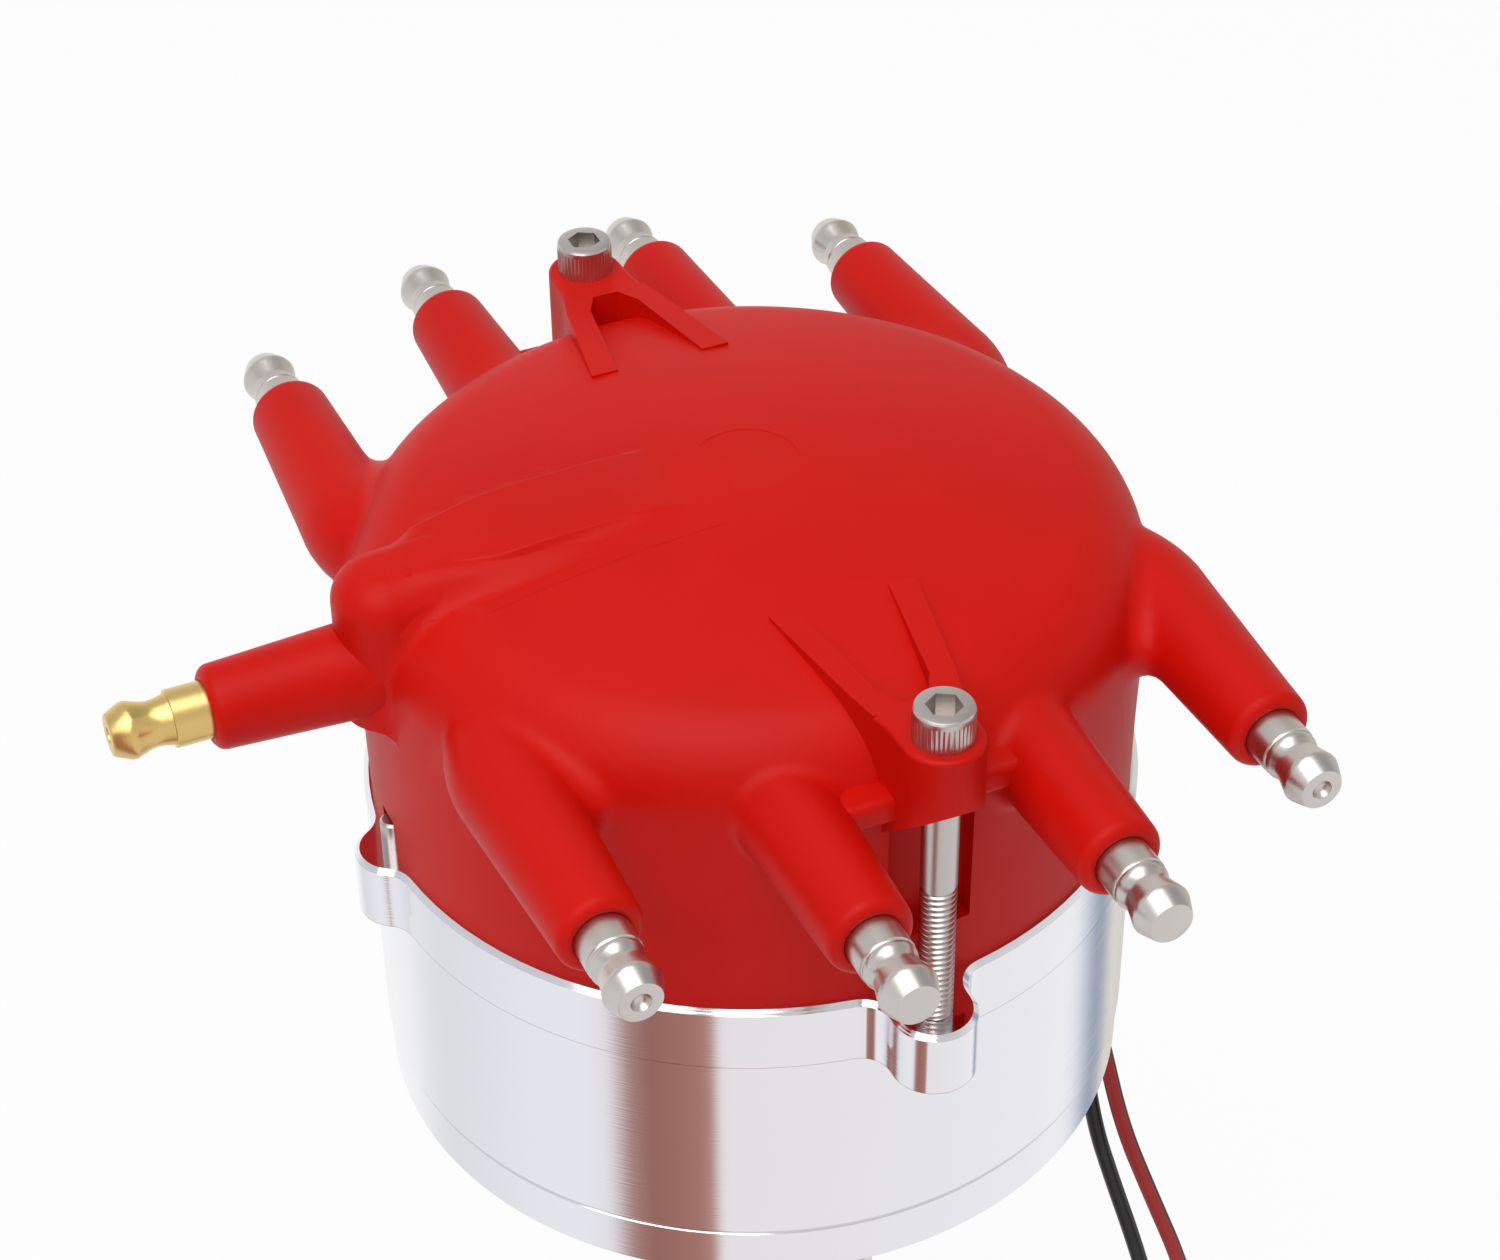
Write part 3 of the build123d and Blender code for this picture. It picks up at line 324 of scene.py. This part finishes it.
red_pvc, tree, out = new_material("red_pvc_with_tracer")
around = add_node(tree, "SeparateXYZ", {"Vector": add_node(tree, "UVMap").outputs["UV"]})
after = add_node(tree, "Math", {0: around.outputs["Y"], 1: STRIPE_START}, operation="GREATER_THAN")
before = add_node(tree, "Math", {0: around.outputs["Y"], 1: STRIPE_END}, operation="LESS_THAN")
stripe = add_node(tree, "Math", {0: after.outputs[0], 1: before.outputs[0]}, operation="MULTIPLY")
tone = add_node(tree, "Mix", {"Factor": stripe.outputs[0], "A": linear("A8201C"),
                              "B": linear("20211B")}, data_type="RGBA")
shader = add_node(tree, "BsdfPrincipled", {"Base Color": tone.outputs["Result"], "Roughness": 0.38})
tree.links.new(shader.outputs["BSDF"], out.inputs["Surface"])
red_lead.data.materials.append(red_pvc)
black_lead.data.materials.append(black_pvc)
print("the stripe covers", round(STRIPE_END - STRIPE_START, 2), "of the way round")

# %% [markdown]
# Every solid takes the finish of its own piece. Inner pieces are dressed too, because the
# model can be opened.

# %% Give the solids their finishes
finish_of = {
    billet_aluminium: ["housing"],
    red_polyester: ["cap"],
    stainless: ["plug_terminal_%d" % n for n in range(1, 9)],
    screw_steel: ["locating_dowels", "cap_screws"],
    zinc_plate: ["pickup_screws", "plate_screws", "pickup_plate", "pickup_bracket",
                 "pickup_pole_piece", "rotor_mount", "rotor_screws"],
    ground_steel: ["shaft", "upper_thrust_washer", "lower_thrust_washer", "shaft_collar",
                   "collar_set_screw", "gear_pin", "mount_pin", "brush_spring"],
    machined_iron: ["drive_gear", "trigger_wheel"],
    turned_brass: ["coil_terminal", "electrodes", "coil_link", "rotor_blade"],
    sintered_bronze: ["upper_bushing", "lower_bushing"],
    black_nylon: ["rotor", "pickup_coil", "lead_connector"],
    nitrile_rubber: ["stem_o_rings", "lead_grommet"],
    pressed_carbon: ["carbon_brush"],
}
for finish, names in finish_of.items():
    for name in names:
        mesh = nodes[name].data
        mesh.materials.clear()
        mesh.materials.append(finish)
print("dressed", sum(len(n) for n in finish_of.values()), "solids")

# %% [markdown]
# A solid arrives as loose triangles, each with its own corners, so its curves look cut.
# A copy is merged at the corners and shaded smooth wherever two faces meet gently.

# %% Smooth copies of the large solids
def smooth_copy(node, name, body, angle=32):
    """A merged copy of a solid, smooth over its gentle edges, which stands for it."""
    mesh = nodes[node].data.copy()
    bm = bmesh.new()
    bm.from_mesh(mesh)
    bmesh.ops.remove_doubles(bm, verts=bm.verts, dist=0.002 * MM)
    for edge in bm.edges:
        edge.smooth = len(edge.link_faces) == 2 and edge.calc_face_angle() < math.radians(angle)
    for face in bm.faces:
        face.smooth = True
    bm.to_mesh(mesh)
    bm.free()
    piece = bpy.data.objects.new(name, mesh)
    bpy.context.scene.collection.objects.link(piece)
    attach(piece, body)
    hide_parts(node)
    return piece


cap = smooth_copy("cap", "cap_moulding", "housing")
housing = smooth_copy("housing", "housing_billet", "housing")
print("cap faces", len(cap.data.polygons), "housing faces", len(housing.data.polygons))

# %% [markdown]
# Two edges are finer on the real part than the solids say: the foot of the bowl is only
# broken by a touch of the tool, and the groove above it is a narrow one. The copy's rings of
# corners there are moved, each from its own radius and height to a new pair.

# %% Refine the foot and the groove
BASE_RADIUS = 46.8
GROOVE = 20.6


def move_ring(piece, radius, height, new_radius, new_height):
    """Moves the corners that lie on one ring, all in millimetres."""
    moved = 0
    for vert in piece.data.vertices:
        r = math.hypot(vert.co.x, vert.co.y)
        if abs(r - radius * MM) < 0.03 * MM and abs(vert.co.z - height * MM) < 0.03 * MM:
            vert.co.x *= new_radius * MM / r
            vert.co.y *= new_radius * MM / r
            vert.co.z = new_height * MM
            moved += 1
    return moved


ring_moves = [
    # radius and height in the solid, then radius and height here
    (45.3, 14.0, 46.6, 13.9),
    (BASE_RADIUS, 15.5, BASE_RADIUS, 14.15),
    (BASE_RADIUS, GROOVE - 0.8, BASE_RADIUS, GROOVE - 0.14),
    (46.0, GROOVE, 46.66, GROOVE),
]
print("corners moved:", [move_ring(housing, *move) for move in ring_moves])

# %% [markdown]
# The round mark in the middle of the cap is a faint witness of the mould, so its disc is
# let down until only a hair of it stands proud. The nose of the duct has no crisp edge, so
# the edges there are shaded smooth.

# %% Soften the mould mark and the nose
CAP_TOP = 99.75
MARK_REACH = 6.15
MARK_DROP = 0.27
NOSE_START = 34
NOSE_HALF_WIDTH = 7
NOSE_FOOT = 94

lowered = 0
for vert in cap.data.vertices:
    if math.hypot(vert.co.x, vert.co.y) < MARK_REACH * MM and vert.co.z > (CAP_TOP + 0.02) * MM:
        vert.co.z -= MARK_DROP * MM
        lowered += 1
for edge in cap.data.edges:
    spot = cap.data.vertices[edge.vertices[0]].co / MM
    if spot.x < -NOSE_START and abs(spot.y) < NOSE_HALF_WIDTH and spot.z > NOSE_FOOT:
        edge.use_edge_sharp = False
print("mark corners lowered:", lowered)

# %% [markdown]
# The duct that leads from the middle of the cap to the coil tower gets a crown of its own,
# which has to know how high the cap stands. A ray dropped on the cap tells that, and nine
# of them are averaged, so that the cap's small facets don't show.

# %% Feel for the height of the cap
RAY_START = 130

own_skin = BVHTree.FromPolygons([v.co for v in cap.data.vertices],
                                [tuple(face.vertices) for face in cap.data.polygons])


def own_height(x, y):
    """Height of the cap itself at one spot, evened out over one millimetre."""
    hits = [own_skin.ray_cast(Vector((x + dx, y + dy, RAY_START)) * MM, Vector((0, 0, -1)))[0]
            for dx in (-0.5, 0, 0.5) for dy in (-0.5, 0, 0.5)]
    return sum(hit.z for hit in hits) / len(hits) / MM


print("cap height halfway to the nose:", round(own_height(-20, 0), 2))

# %% [markdown]
# The crown swells out of the dome by a soft rule: the rise grows towards the tower, the near
# flank is hollow at its foot, and the far one is a crisp fold. Over the nose it settles on
# the cap itself. Pairs below are where a soft step starts and ends, and lengths are in
# millimetres.

# %% The rule for the crown of the duct
DOME_RADIUS = 167.0
EDGE_RADIUS = 10.7
EDGE_START = 36.25
SKIN_GAP = 0.012
CROWN_START = 9.0
RISE_BEND = 0.0016
RISE_SLOPE = 0.0604
RISE_DELAY = 0.05
SWELL_HEIGHT = 0.45
SWELL_GROWS = (0, 8)
SWELL_FADES = (17, 28)
NOSE_TURNS = (30, 41)
FLANK_FOOT = -8.2
FLANK_WIDTH = 3.5
FLANK_WIDENS = 2.4
FLANK_POWERS = (1.3, 5)
FOLD = 7.7
FOLD_WIDTH = 0.8
FOLD_SOFTENS = 1.6
FOLD_SHIFTS = 0.4
JOINS_CAP = (38, 43)
COVER_FADES = (43.2, 44.6)
SUNK = 0.06
COVER = 0.12


def soft_step(low, high, value):
    """0 below low, 1 above high, and an easy curve between."""
    t = min(1, max(0, (value - low) / (high - low)))
    return t * t * (3 - 2 * t)


def crown_height(x, y):
    """Height of the crown over one spot of the cap, in millimetres."""
    r = math.hypot(x, y)
    drop = EDGE_RADIUS - math.sqrt(EDGE_RADIUS ** 2 - max(0, r - EDGE_START) ** 2)
    ground = CAP_TOP - DOME_RADIUS + math.sqrt(DOME_RADIUS ** 2 - r ** 2) - drop
    run = -x - CROWN_START
    swell = SWELL_HEIGHT * soft_step(*SWELL_GROWS, run) * (1 - soft_step(*SWELL_FADES, run))
    rise = max(0, RISE_BEND * run ** 2 + RISE_SLOPE * run - RISE_DELAY) + swell + drop
    to_nose = soft_step(*NOSE_TURNS, -x)
    climb = min(1, max(0, (y - FLANK_FOOT) / (FLANK_WIDTH + FLANK_WIDENS * to_nose)))
    near = sum(climb ** power for power in FLANK_POWERS) / 2
    far = 1 - soft_step(FOLD - FOLD_WIDTH - FOLD_SOFTENS * to_nose, FOLD - FOLD_SHIFTS * to_nose, y)
    height = ground + SKIN_GAP + rise * near * far
    joined = soft_step(*JOINS_CAP, -x)
    if joined:
        cover = near * far * (1 - soft_step(*COVER_FADES, -x))
        height += (own_height(x, y) - SUNK + COVER * cover - height) * joined
    return height


print("crown heights along the duct:", [round(crown_height(x, 0), 2) for x in (-10, -20, -30, -40)])

# %% [markdown]
# The crown itself is one fine grid, a square millimetre stretched to the duct's length and
# width. Each of its corners then goes to the height that the rule gives.

# %% Lay the crown of the duct
GRID_START = 4
GRID_LENGTH = 40.8
GRID_WIDTH = 19
GRID_MIDDLE = -0.5

bm = bmesh.new()
bmesh.ops.create_grid(bm, x_segments=120, y_segments=100, size=0.5 * MM)
for vert in bm.verts:
    x = -GRID_START - GRID_LENGTH * (0.5 - vert.co.x / MM)
    y = GRID_MIDDLE + GRID_WIDTH * vert.co.y / MM
    vert.co = Vector((x, y, crown_height(x, y))) * MM
for face in bm.faces:
    face.smooth = True
crown_mesh = bpy.data.meshes.new("duct_crown_skin")
bm.to_mesh(crown_mesh)
bm.free()
crown_mesh.materials.append(red_polyester)
crown = bpy.data.objects.new("duct_crown_skin", crown_mesh)
bpy.context.scene.collection.objects.link(crown)
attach(crown, "housing")
print("crown faces", len(crown_mesh.polygons))

# %% [markdown]
# Pieces drawn from scratch all end the same way: their faces turn outward, gentle edges are
# shaded smooth, and the mesh joins its body. A turned one starts as half an outline, which
# is spun once round.

# %% Two helpers for drawn pieces
def finish_piece(name, bm, body, finish, node=None, sharp=32):
    """Turns a finished bmesh into a piece on a body."""
    bmesh.ops.recalc_face_normals(bm, faces=bm.faces)
    for edge in bm.edges:
        edge.smooth = len(edge.link_faces) == 2 and edge.calc_face_angle() < math.radians(sharp)
    for face in bm.faces:
        face.smooth = True
    mesh = bpy.data.meshes.new(name)
    bm.to_mesh(mesh)
    bm.free()
    mesh.materials.append(finish)
    piece = bpy.data.objects.new(name, mesh)
    bpy.context.scene.collection.objects.link(piece)
    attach(piece, body)
    if node:
        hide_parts(node)
    return piece


def spun(profile, steps=72):
    """A closed turned shape from (radius, height) pairs in millimetres."""
    bm = bmesh.new()
    corners = [bm.verts.new((r * MM, 0, z * MM)) for r, z in profile]
    edges = [bm.edges.new(pair) for pair in zip(corners, corners[1:])]
    bmesh.ops.spin(bm, geom=corners + edges, cent=(0, 0, 0), axis=(0, 0, 1),
                   angle=math.tau, steps=steps, use_merge=True)
    bmesh.ops.remove_doubles(bm, verts=bm.verts, dist=0.001 * MM)
    return bm


print("turning ready")

# %% [markdown]
# Each plug terminal is a turned stud: a plain post, a waist and a bulb that the lead's
# clip snaps over. The outer ones have a dimple left by the lathe's centre. The coil's stud
# is brass and has a step above its post. Outlines are (radius, height) pairs, and height
# counts from the mouth of the tower.

# %% Outline the snap terminals
TIP = 10.35
DIMPLE = [(1.2, TIP), (1.12, TIP - 0.08), (1.0, TIP - 0.4), (0.72, TIP - 0.75), (0.38, TIP - 0.95),
          (0, TIP - 1.0)]
PLUG_POST = [(0, -13.0), (2.2, -13.0), (2.2, -1.0), (3.2, -1.0), (3.2, 3.3), (3.08, 3.42),
             (3.02, 3.55), (3.1, 3.68), (3.1, 4.1), (3.02, 4.35), (2.74, 5.1), (2.72, 5.4),
             (2.8, 5.8), (3.22, 7.4), (3.34, 7.8), (3.36, 8.05), (3.28, 8.35), (2.56, TIP - 0.22),
             (2.48, TIP - 0.06), (2.38, TIP)]
COIL_POST = [(0, -13.0), (2.2, -13.0), (2.2, -1.0), (3.36, -1.0), (3.36, 4.05), (3.3, 4.12),
             (2.98, 4.14), (2.93, 4.4), (2.7, 5.4), (2.64, 6.0), (2.7, 6.7), (3.15, 8.1),
             (3.3, 8.5), (3.33, 8.8), (3.28, 9.2), (2.5, 10.9), (2.36, 11.08), (2.1, 11.12),
             (1.05, 11.12), (0.98, 11.05), (0.9, 10.7), (0.5, 10.4), (0, 10.35)]
TOWER_LIP = [(3.1, -1.0), (4.02, -1.0), (4.02, -0.02), (3.9, 0.0), (3.5, -0.06), (3.28, -0.22),
             (3.1, -0.5), (3.1, -1.0)]
print("outline points:", len(PLUG_POST), len(COIL_POST))

# %% [markdown]
# Four towers stand on each side of the cap, the same on both, so two mouths give all eight.
# A stud is set in each, and a thin lip closes the moulding round it.

# %% Set a stud and a lip in every tower
TOWER_HEIGHT = 84.9
OUTER_MOUTH = (39.6, 52.9)
INNER_MOUTH = (14.5, 64.7)
COIL_MOUTH = 66.1
PLUG_ORDER = [(OUTER_MOUTH, 1, -1), (INNER_MOUTH, 1, -1), (INNER_MOUTH, -1, -1), (OUTER_MOUTH, -1, -1),
              (OUTER_MOUTH, -1, 1), (INNER_MOUTH, -1, 1), (INNER_MOUTH, 1, 1), (OUTER_MOUTH, 1, 1)]


def set_in_tower(outline, spot, way, name, finish, **kept):
    """Spins an outline and seats it at one tower's mouth, facing out of it."""
    bm = spun(outline)
    turn = Vector((way[0], way[1], 0)).to_track_quat("Z", "Y").to_matrix().to_4x4()
    seat = Matrix.Translation(Vector((spot[0], spot[1], TOWER_HEIGHT)) * MM)
    bmesh.ops.transform(bm, matrix=seat @ turn, verts=bm.verts)
    return finish_piece(name, bm, "housing", finish, **kept)


for n, (mouth, along, side) in enumerate(PLUG_ORDER, 1):
    node = "plug_terminal_%d" % n
    spot = (along * mouth[0], side * mouth[1])
    end = DIMPLE if mouth == OUTER_MOUTH else [(0, TIP)]
    set_in_tower(PLUG_POST + end, spot, (0, side), node + "_stud", stainless, node=node)
    set_in_tower(TOWER_LIP, spot, (0, side), node + "_lip", red_polyester, sharp=60)
coil_spot = (-COIL_MOUTH, 0)
set_in_tower(COIL_POST, coil_spot, (-1, 0), "coil_terminal_stud", turned_brass, node="coil_terminal")
set_in_tower(TOWER_LIP, coil_spot, (-1, 0), "coil_terminal_lip", red_polyester, sharp=60)
print("studs:", len(PLUG_ORDER) + 1)

# %% [markdown]
# The cap is held by two long socket screws, cut with a fine thread on a little over half of
# their length. A thread is one small ridge that climbs as it turns, so a zigzag edge is spun
# once round while it rises by one pitch: its end then meets its own start one ridge higher.

# %% Cut the screws' thread
PITCH = 0.794
THREAD_DEPTH = 0.42
THREAD_STEPS = 32
SCREW_RADIUS = 2.08
THREAD_TOP = 76.2
THREAD_FOOT = 49.1


def thread(low, high):
    """A helical ridge between two heights, closed at both ends."""
    bm = bmesh.new()
    profile = []
    turns = int((high - low) / PITCH) - 1
    for i in range(turns):
        z = low + i * PITCH
        profile += [(SCREW_RADIUS - THREAD_DEPTH, z), (SCREW_RADIUS, z + 0.36 * PITCH),
                    (SCREW_RADIUS, z + 0.5 * PITCH), (SCREW_RADIUS - THREAD_DEPTH, z + 0.86 * PITCH)]
    profile.append((SCREW_RADIUS - THREAD_DEPTH, low + turns * PITCH))
    corners = [bm.verts.new((r * MM, 0, z * MM)) for r, z in profile]
    edges = [bm.edges.new(pair) for pair in zip(corners, corners[1:])]
    bmesh.ops.spin(bm, geom=corners + edges, cent=(0, 0, 0), axis=(0, 0, 1),
                   dvec=(0, 0, PITCH * MM / THREAD_STEPS), angle=math.tau, steps=THREAD_STEPS,
                   use_merge=False)
    bmesh.ops.remove_doubles(bm, verts=bm.verts, dist=0.004 * MM)
    bmesh.ops.holes_fill(bm, edges=[e for e in bm.edges if e.is_boundary])
    return bm


print("threaded length:", round(THREAD_TOP - THREAD_FOOT, 1), "at a pitch of", PITCH)

# %% [markdown]
# The head of a screw is a knurled ring, lifted step by step, rounded at its top edge and
# closed by the six sides and the floor of a hexagon socket.

# %% Knurl the screws' heads
HEAD_RADIUS = 3.43
HEAD_HEIGHT = 4.17
KNURL_TEETH = 44
KNURL_DEPTH = 0.13
KNURL_END = 0.95
HEAD_EDGE = [
    # how far below the top, how far in from the full radius
    (0.75, 0.05), (0.30, 0.07), (0.08, 0.22), (0.0001, 0.42),
]
SOCKET_RADIUS = 2.06
SOCKET_DEPTH = 2.1


def knurled_head():
    """Socket head: straight knurl, plain top edge, hexagon socket."""
    bm = bmesh.new()
    ring = bmesh.ops.create_circle(bm, segments=2 * KNURL_TEETH, radius=HEAD_RADIUS * MM)["verts"]
    for i, vert in enumerate(ring):
        if i % 2:
            vert.co *= 1 - KNURL_DEPTH / HEAD_RADIUS
    loop = list(bm.edges)

    def lift(loop, height, radius=None):
        made = bmesh.ops.extrude_edge_only(bm, edges=loop)["geom"]
        for vert in [g for g in made if isinstance(g, bmesh.types.BMVert)]:
            flat = Vector((vert.co.x, vert.co.y))
            if radius:
                flat *= radius * MM / flat.length
            vert.co = (flat.x, flat.y, height * MM)
        return [g for g in made if isinstance(g, bmesh.types.BMEdge)
                and all(abs(v.co.z - height * MM) < 1e-7 for v in g.verts)]

    loop = lift(loop, HEAD_HEIGHT - KNURL_END)
    for below, inward in HEAD_EDGE:
        loop = lift(loop, HEAD_HEIGHT - below, radius=HEAD_RADIUS - inward)
    hexagon = bmesh.ops.create_circle(bm, segments=6, radius=SOCKET_RADIUS * MM)["verts"]
    bmesh.ops.translate(bm, verts=hexagon, vec=(0, 0, HEAD_HEIGHT * MM))
    sides = list({e for v in hexagon for e in v.link_edges})
    bmesh.ops.bridge_loops(bm, edges=loop + sides)
    wall = bmesh.ops.extrude_edge_only(bm, edges=sides)["geom"]
    socket_floor = [g for g in wall if isinstance(g, bmesh.types.BMVert)]
    bmesh.ops.translate(bm, verts=socket_floor, vec=(0, 0, -SOCKET_DEPTH * MM))
    bmesh.ops.holes_fill(bm, edges=[e for e in bm.edges if e.is_boundary])
    return bm


print("teeth round a head:", KNURL_TEETH)

# %% [markdown]
# A shank runs from the head's seat down into the thread. Both screws are one piece, and they
# stand opposite each other across the shaft.

# %% Put the cap screws together
SCREW_PLACE = 50.8
HEAD_SEAT = 96.7


def add_to(bm, other, height=0.0):
    """Moves one bmesh into another, raised by a height in millimetres."""
    bmesh.ops.translate(other, verts=other.verts, vec=(0, 0, height * MM))
    mesh = bpy.data.meshes.new("part")
    other.to_mesh(mesh)
    other.free()
    bm.from_mesh(mesh)
    bpy.data.meshes.remove(mesh)


screws = bmesh.new()
for side in (-1, 1):
    one = spun([(0, THREAD_TOP - 1.2), (SCREW_RADIUS - THREAD_DEPTH, THREAD_TOP - 1.2),
                (SCREW_RADIUS, THREAD_TOP), (SCREW_RADIUS, HEAD_SEAT), (0, HEAD_SEAT)], 48)
    add_to(one, thread(THREAD_FOOT, THREAD_TOP + 0.4))
    add_to(one, knurled_head(), HEAD_SEAT)
    bmesh.ops.translate(one, verts=one.verts, vec=(0, side * SCREW_PLACE * MM, 0))
    add_to(screws, one)
screw_pair = finish_piece("cap_screw_pair", screws, "housing", screw_steel, "cap_screws", sharp=28)
print("screw faces", len(screw_pair.data.polygons))

# %% [markdown]
# The part is shown in plain, soft light from all round, over a pale floor. A polished wall
# shows what stands round it, so the surroundings are white with a few cards between the
# light panels: a warm one, a cool one and some pale grey. A card is a range of azimuth round
# the shaft, and only reflections see it. The eye sees plain white. The first card also
# closes the circle.

# %% The cards that polished metal shows
CARDS = [
    # azimuth in degrees, colour that a reflection finds there
    (-180, "F7F8FC"), (-162, "FAFAFF"), (-154, "F4F2F4"), (-148, "B48C88"), (-142, "A07066"),
    (-129, "B07C70"), (-124.5, "BE8E84"), (-123, "F8F4F4"), (-60, "FAF9FC"), (-10, "FFFFFF"),
    (-3, "D8DEE8"), (3, "9EA8B8"), (12, "A8B0BE"), (15, "E6E2DA"), (40, "DAD6CE"),
    (70, "FFFFFF"), (125, "FFFFFF"), (146, "ECEDEE"), (158, "EEF0F4"),
]


def surroundings(tree, where):
    """The colour of the cards, by the azimuth of a direction or a place."""
    way = add_node(tree, "SeparateXYZ", {"Vector": where})
    turn = add_node(tree, "Math", {0: way.outputs["Y"], 1: way.outputs["X"]}, operation="ARCTAN2")
    part_turn = add_node(tree, "MapRange", {"Value": turn.outputs[0], "From Min": -math.pi,
                                            "From Max": math.pi})
    cards = add_node(tree, "ValToRGB", {"Fac": part_turn.outputs["Result"]})
    ramp = cards.color_ramp
    for spot in (ramp.elements[0], ramp.elements[1]):
        spot.color = linear(CARDS[0][1])
    for azimuth, hex_colour in CARDS[1:]:
        ramp.elements.new((azimuth + 180) / 360).color = linear(hex_colour)
    return cards.outputs["Color"]


print("cards:", len(CARDS))

# %% [markdown]
# The floor is matt and pale, a little below the foot of the stem. It takes a soft shadow,
# and a share of its brightness is its own, so that the eye sees it near white.

# %% Lay the floor
FLOOR_GAP = 4 * MM
FLOOR_REACH = 4.0
FLOOR_TONE = 0.93
OWN_BRIGHTNESS = 0.93

floor_mesh = bpy.data.meshes.new("floor")
bm = bmesh.new()
bmesh.ops.create_grid(bm, x_segments=1, y_segments=1, size=FLOOR_REACH)
bmesh.ops.translate(bm, verts=bm.verts, vec=(0, 0, cad_box[0][2] - FLOOR_GAP))
bm.to_mesh(floor_mesh)
bm.free()
floor = bpy.data.objects.new("floor", floor_mesh)
bpy.context.scene.collection.objects.link(floor)

floor_paint, tree, out = new_material("pale_floor")
place_on_floor = add_node(tree, "TexCoord").outputs["Object"]
paint = add_node(tree, "BsdfDiffuse", {"Color": (FLOOR_TONE, FLOOR_TONE, FLOOR_TONE, 1)})
rays = add_node(tree, "LightPath")
glow = add_node(tree, "Emission", {"Color": (1, 1, 1, 1), "Strength": 1.0})
carded = add_node(tree, "Emission", {"Color": surroundings(tree, place_on_floor), "Strength": 1.0})
share = add_node(tree, "Math", {0: rays.outputs["Is Camera Ray"], 1: OWN_BRIGHTNESS},
                 operation="MULTIPLY")
seen = add_node(tree, "MixShader", {0: share.outputs[0], 1: paint.outputs[0], 2: glow.outputs[0]})
mixed = add_node(tree, "MixShader", {0: rays.outputs["Is Glossy Ray"], 1: seen.outputs[0],
                                     2: carded.outputs[0]})
tree.links.new(mixed.outputs[0], out.inputs["Surface"])
floor.data.materials.append(floor_paint)
print("floor at", round(cad_box[0][2] - FLOOR_GAP, 4))

# %% [markdown]
# The world is the studio's soft light. It lights surfaces at less than half strength,
# reflects as the cards, which grow dimmer overhead, and is white to the eye.

# %% Light the world
SOFT_LIGHT = 0.40
CEILING_STARTS = 0.1
CEILING_ENDS = 0.6
CEILING_LIGHT = 0.7

world = bpy.data.worlds.new("studio")
bpy.context.scene.world = world
world.use_nodes = True
tree = world.node_tree
tree.nodes.clear()
out = add_node(tree, "OutputWorld")
rays = add_node(tree, "LightPath")
direction = add_node(tree, "TexCoord").outputs["Generated"]
height = add_node(tree, "SeparateXYZ", {"Vector": direction}).outputs["Z"]
ceiling = add_node(tree, "MapRange", {"Value": height, "From Min": CEILING_STARTS,
                                      "From Max": CEILING_ENDS, "To Min": 1.0,
                                      "To Max": CEILING_LIGHT})
soft = add_node(tree, "Background", {"Color": (1, 1, 1, 1), "Strength": SOFT_LIGHT})
carded = add_node(tree, "Background", {"Color": surroundings(tree, direction),
                                       "Strength": ceiling.outputs["Result"]})
white = add_node(tree, "Background", {"Color": (1, 1, 1, 1), "Strength": 1.0})
glossy = add_node(tree, "MixShader", {0: rays.outputs["Is Glossy Ray"], 1: soft.outputs[0],
                                      2: carded.outputs[0]})
seen = add_node(tree, "Math", {0: rays.outputs["Is Camera Ray"],
                               1: rays.outputs["Is Transmission Ray"]}, operation="MAXIMUM")
final = add_node(tree, "MixShader", {0: seen.outputs[0], 1: glossy.outputs[0], 2: white.outputs[0]})
tree.links.new(final.outputs[0], out.inputs["Surface"])
print("soft light:", SOFT_LIGHT)

# %% [markdown]
# Two soft panels, one high up and one from the front left, add a gentle direction to the
# light. Azimuth and elevation are in degrees and distance and size in metres.

# %% Hang two panels
def panel(name, azimuth, elevation, distance, size, power):
    """A square soft light panel that faces the cap."""
    light = bpy.data.lights.new(name, "AREA")
    light.size = size
    light.energy = power
    lamp = bpy.data.objects.new(name, light)
    a, e = math.radians(azimuth), math.radians(elevation)
    away = Vector((math.cos(e) * math.cos(a), math.cos(e) * math.sin(a), math.sin(e)))
    lamp.location = Vector((0, 0, RIM_HEIGHT)) + away * distance
    lamp.rotation_euler = away.to_track_quat("Z", "Y").to_euler()
    bpy.context.scene.collection.objects.link(lamp)


panel("top_panel", -140, 78, 1.1, 0.9, 5.5)
panel("front_panel", -138, 50, 1.2, 0.9, 4.5)
bpy.context.scene.view_settings.view_transform = "Standard"
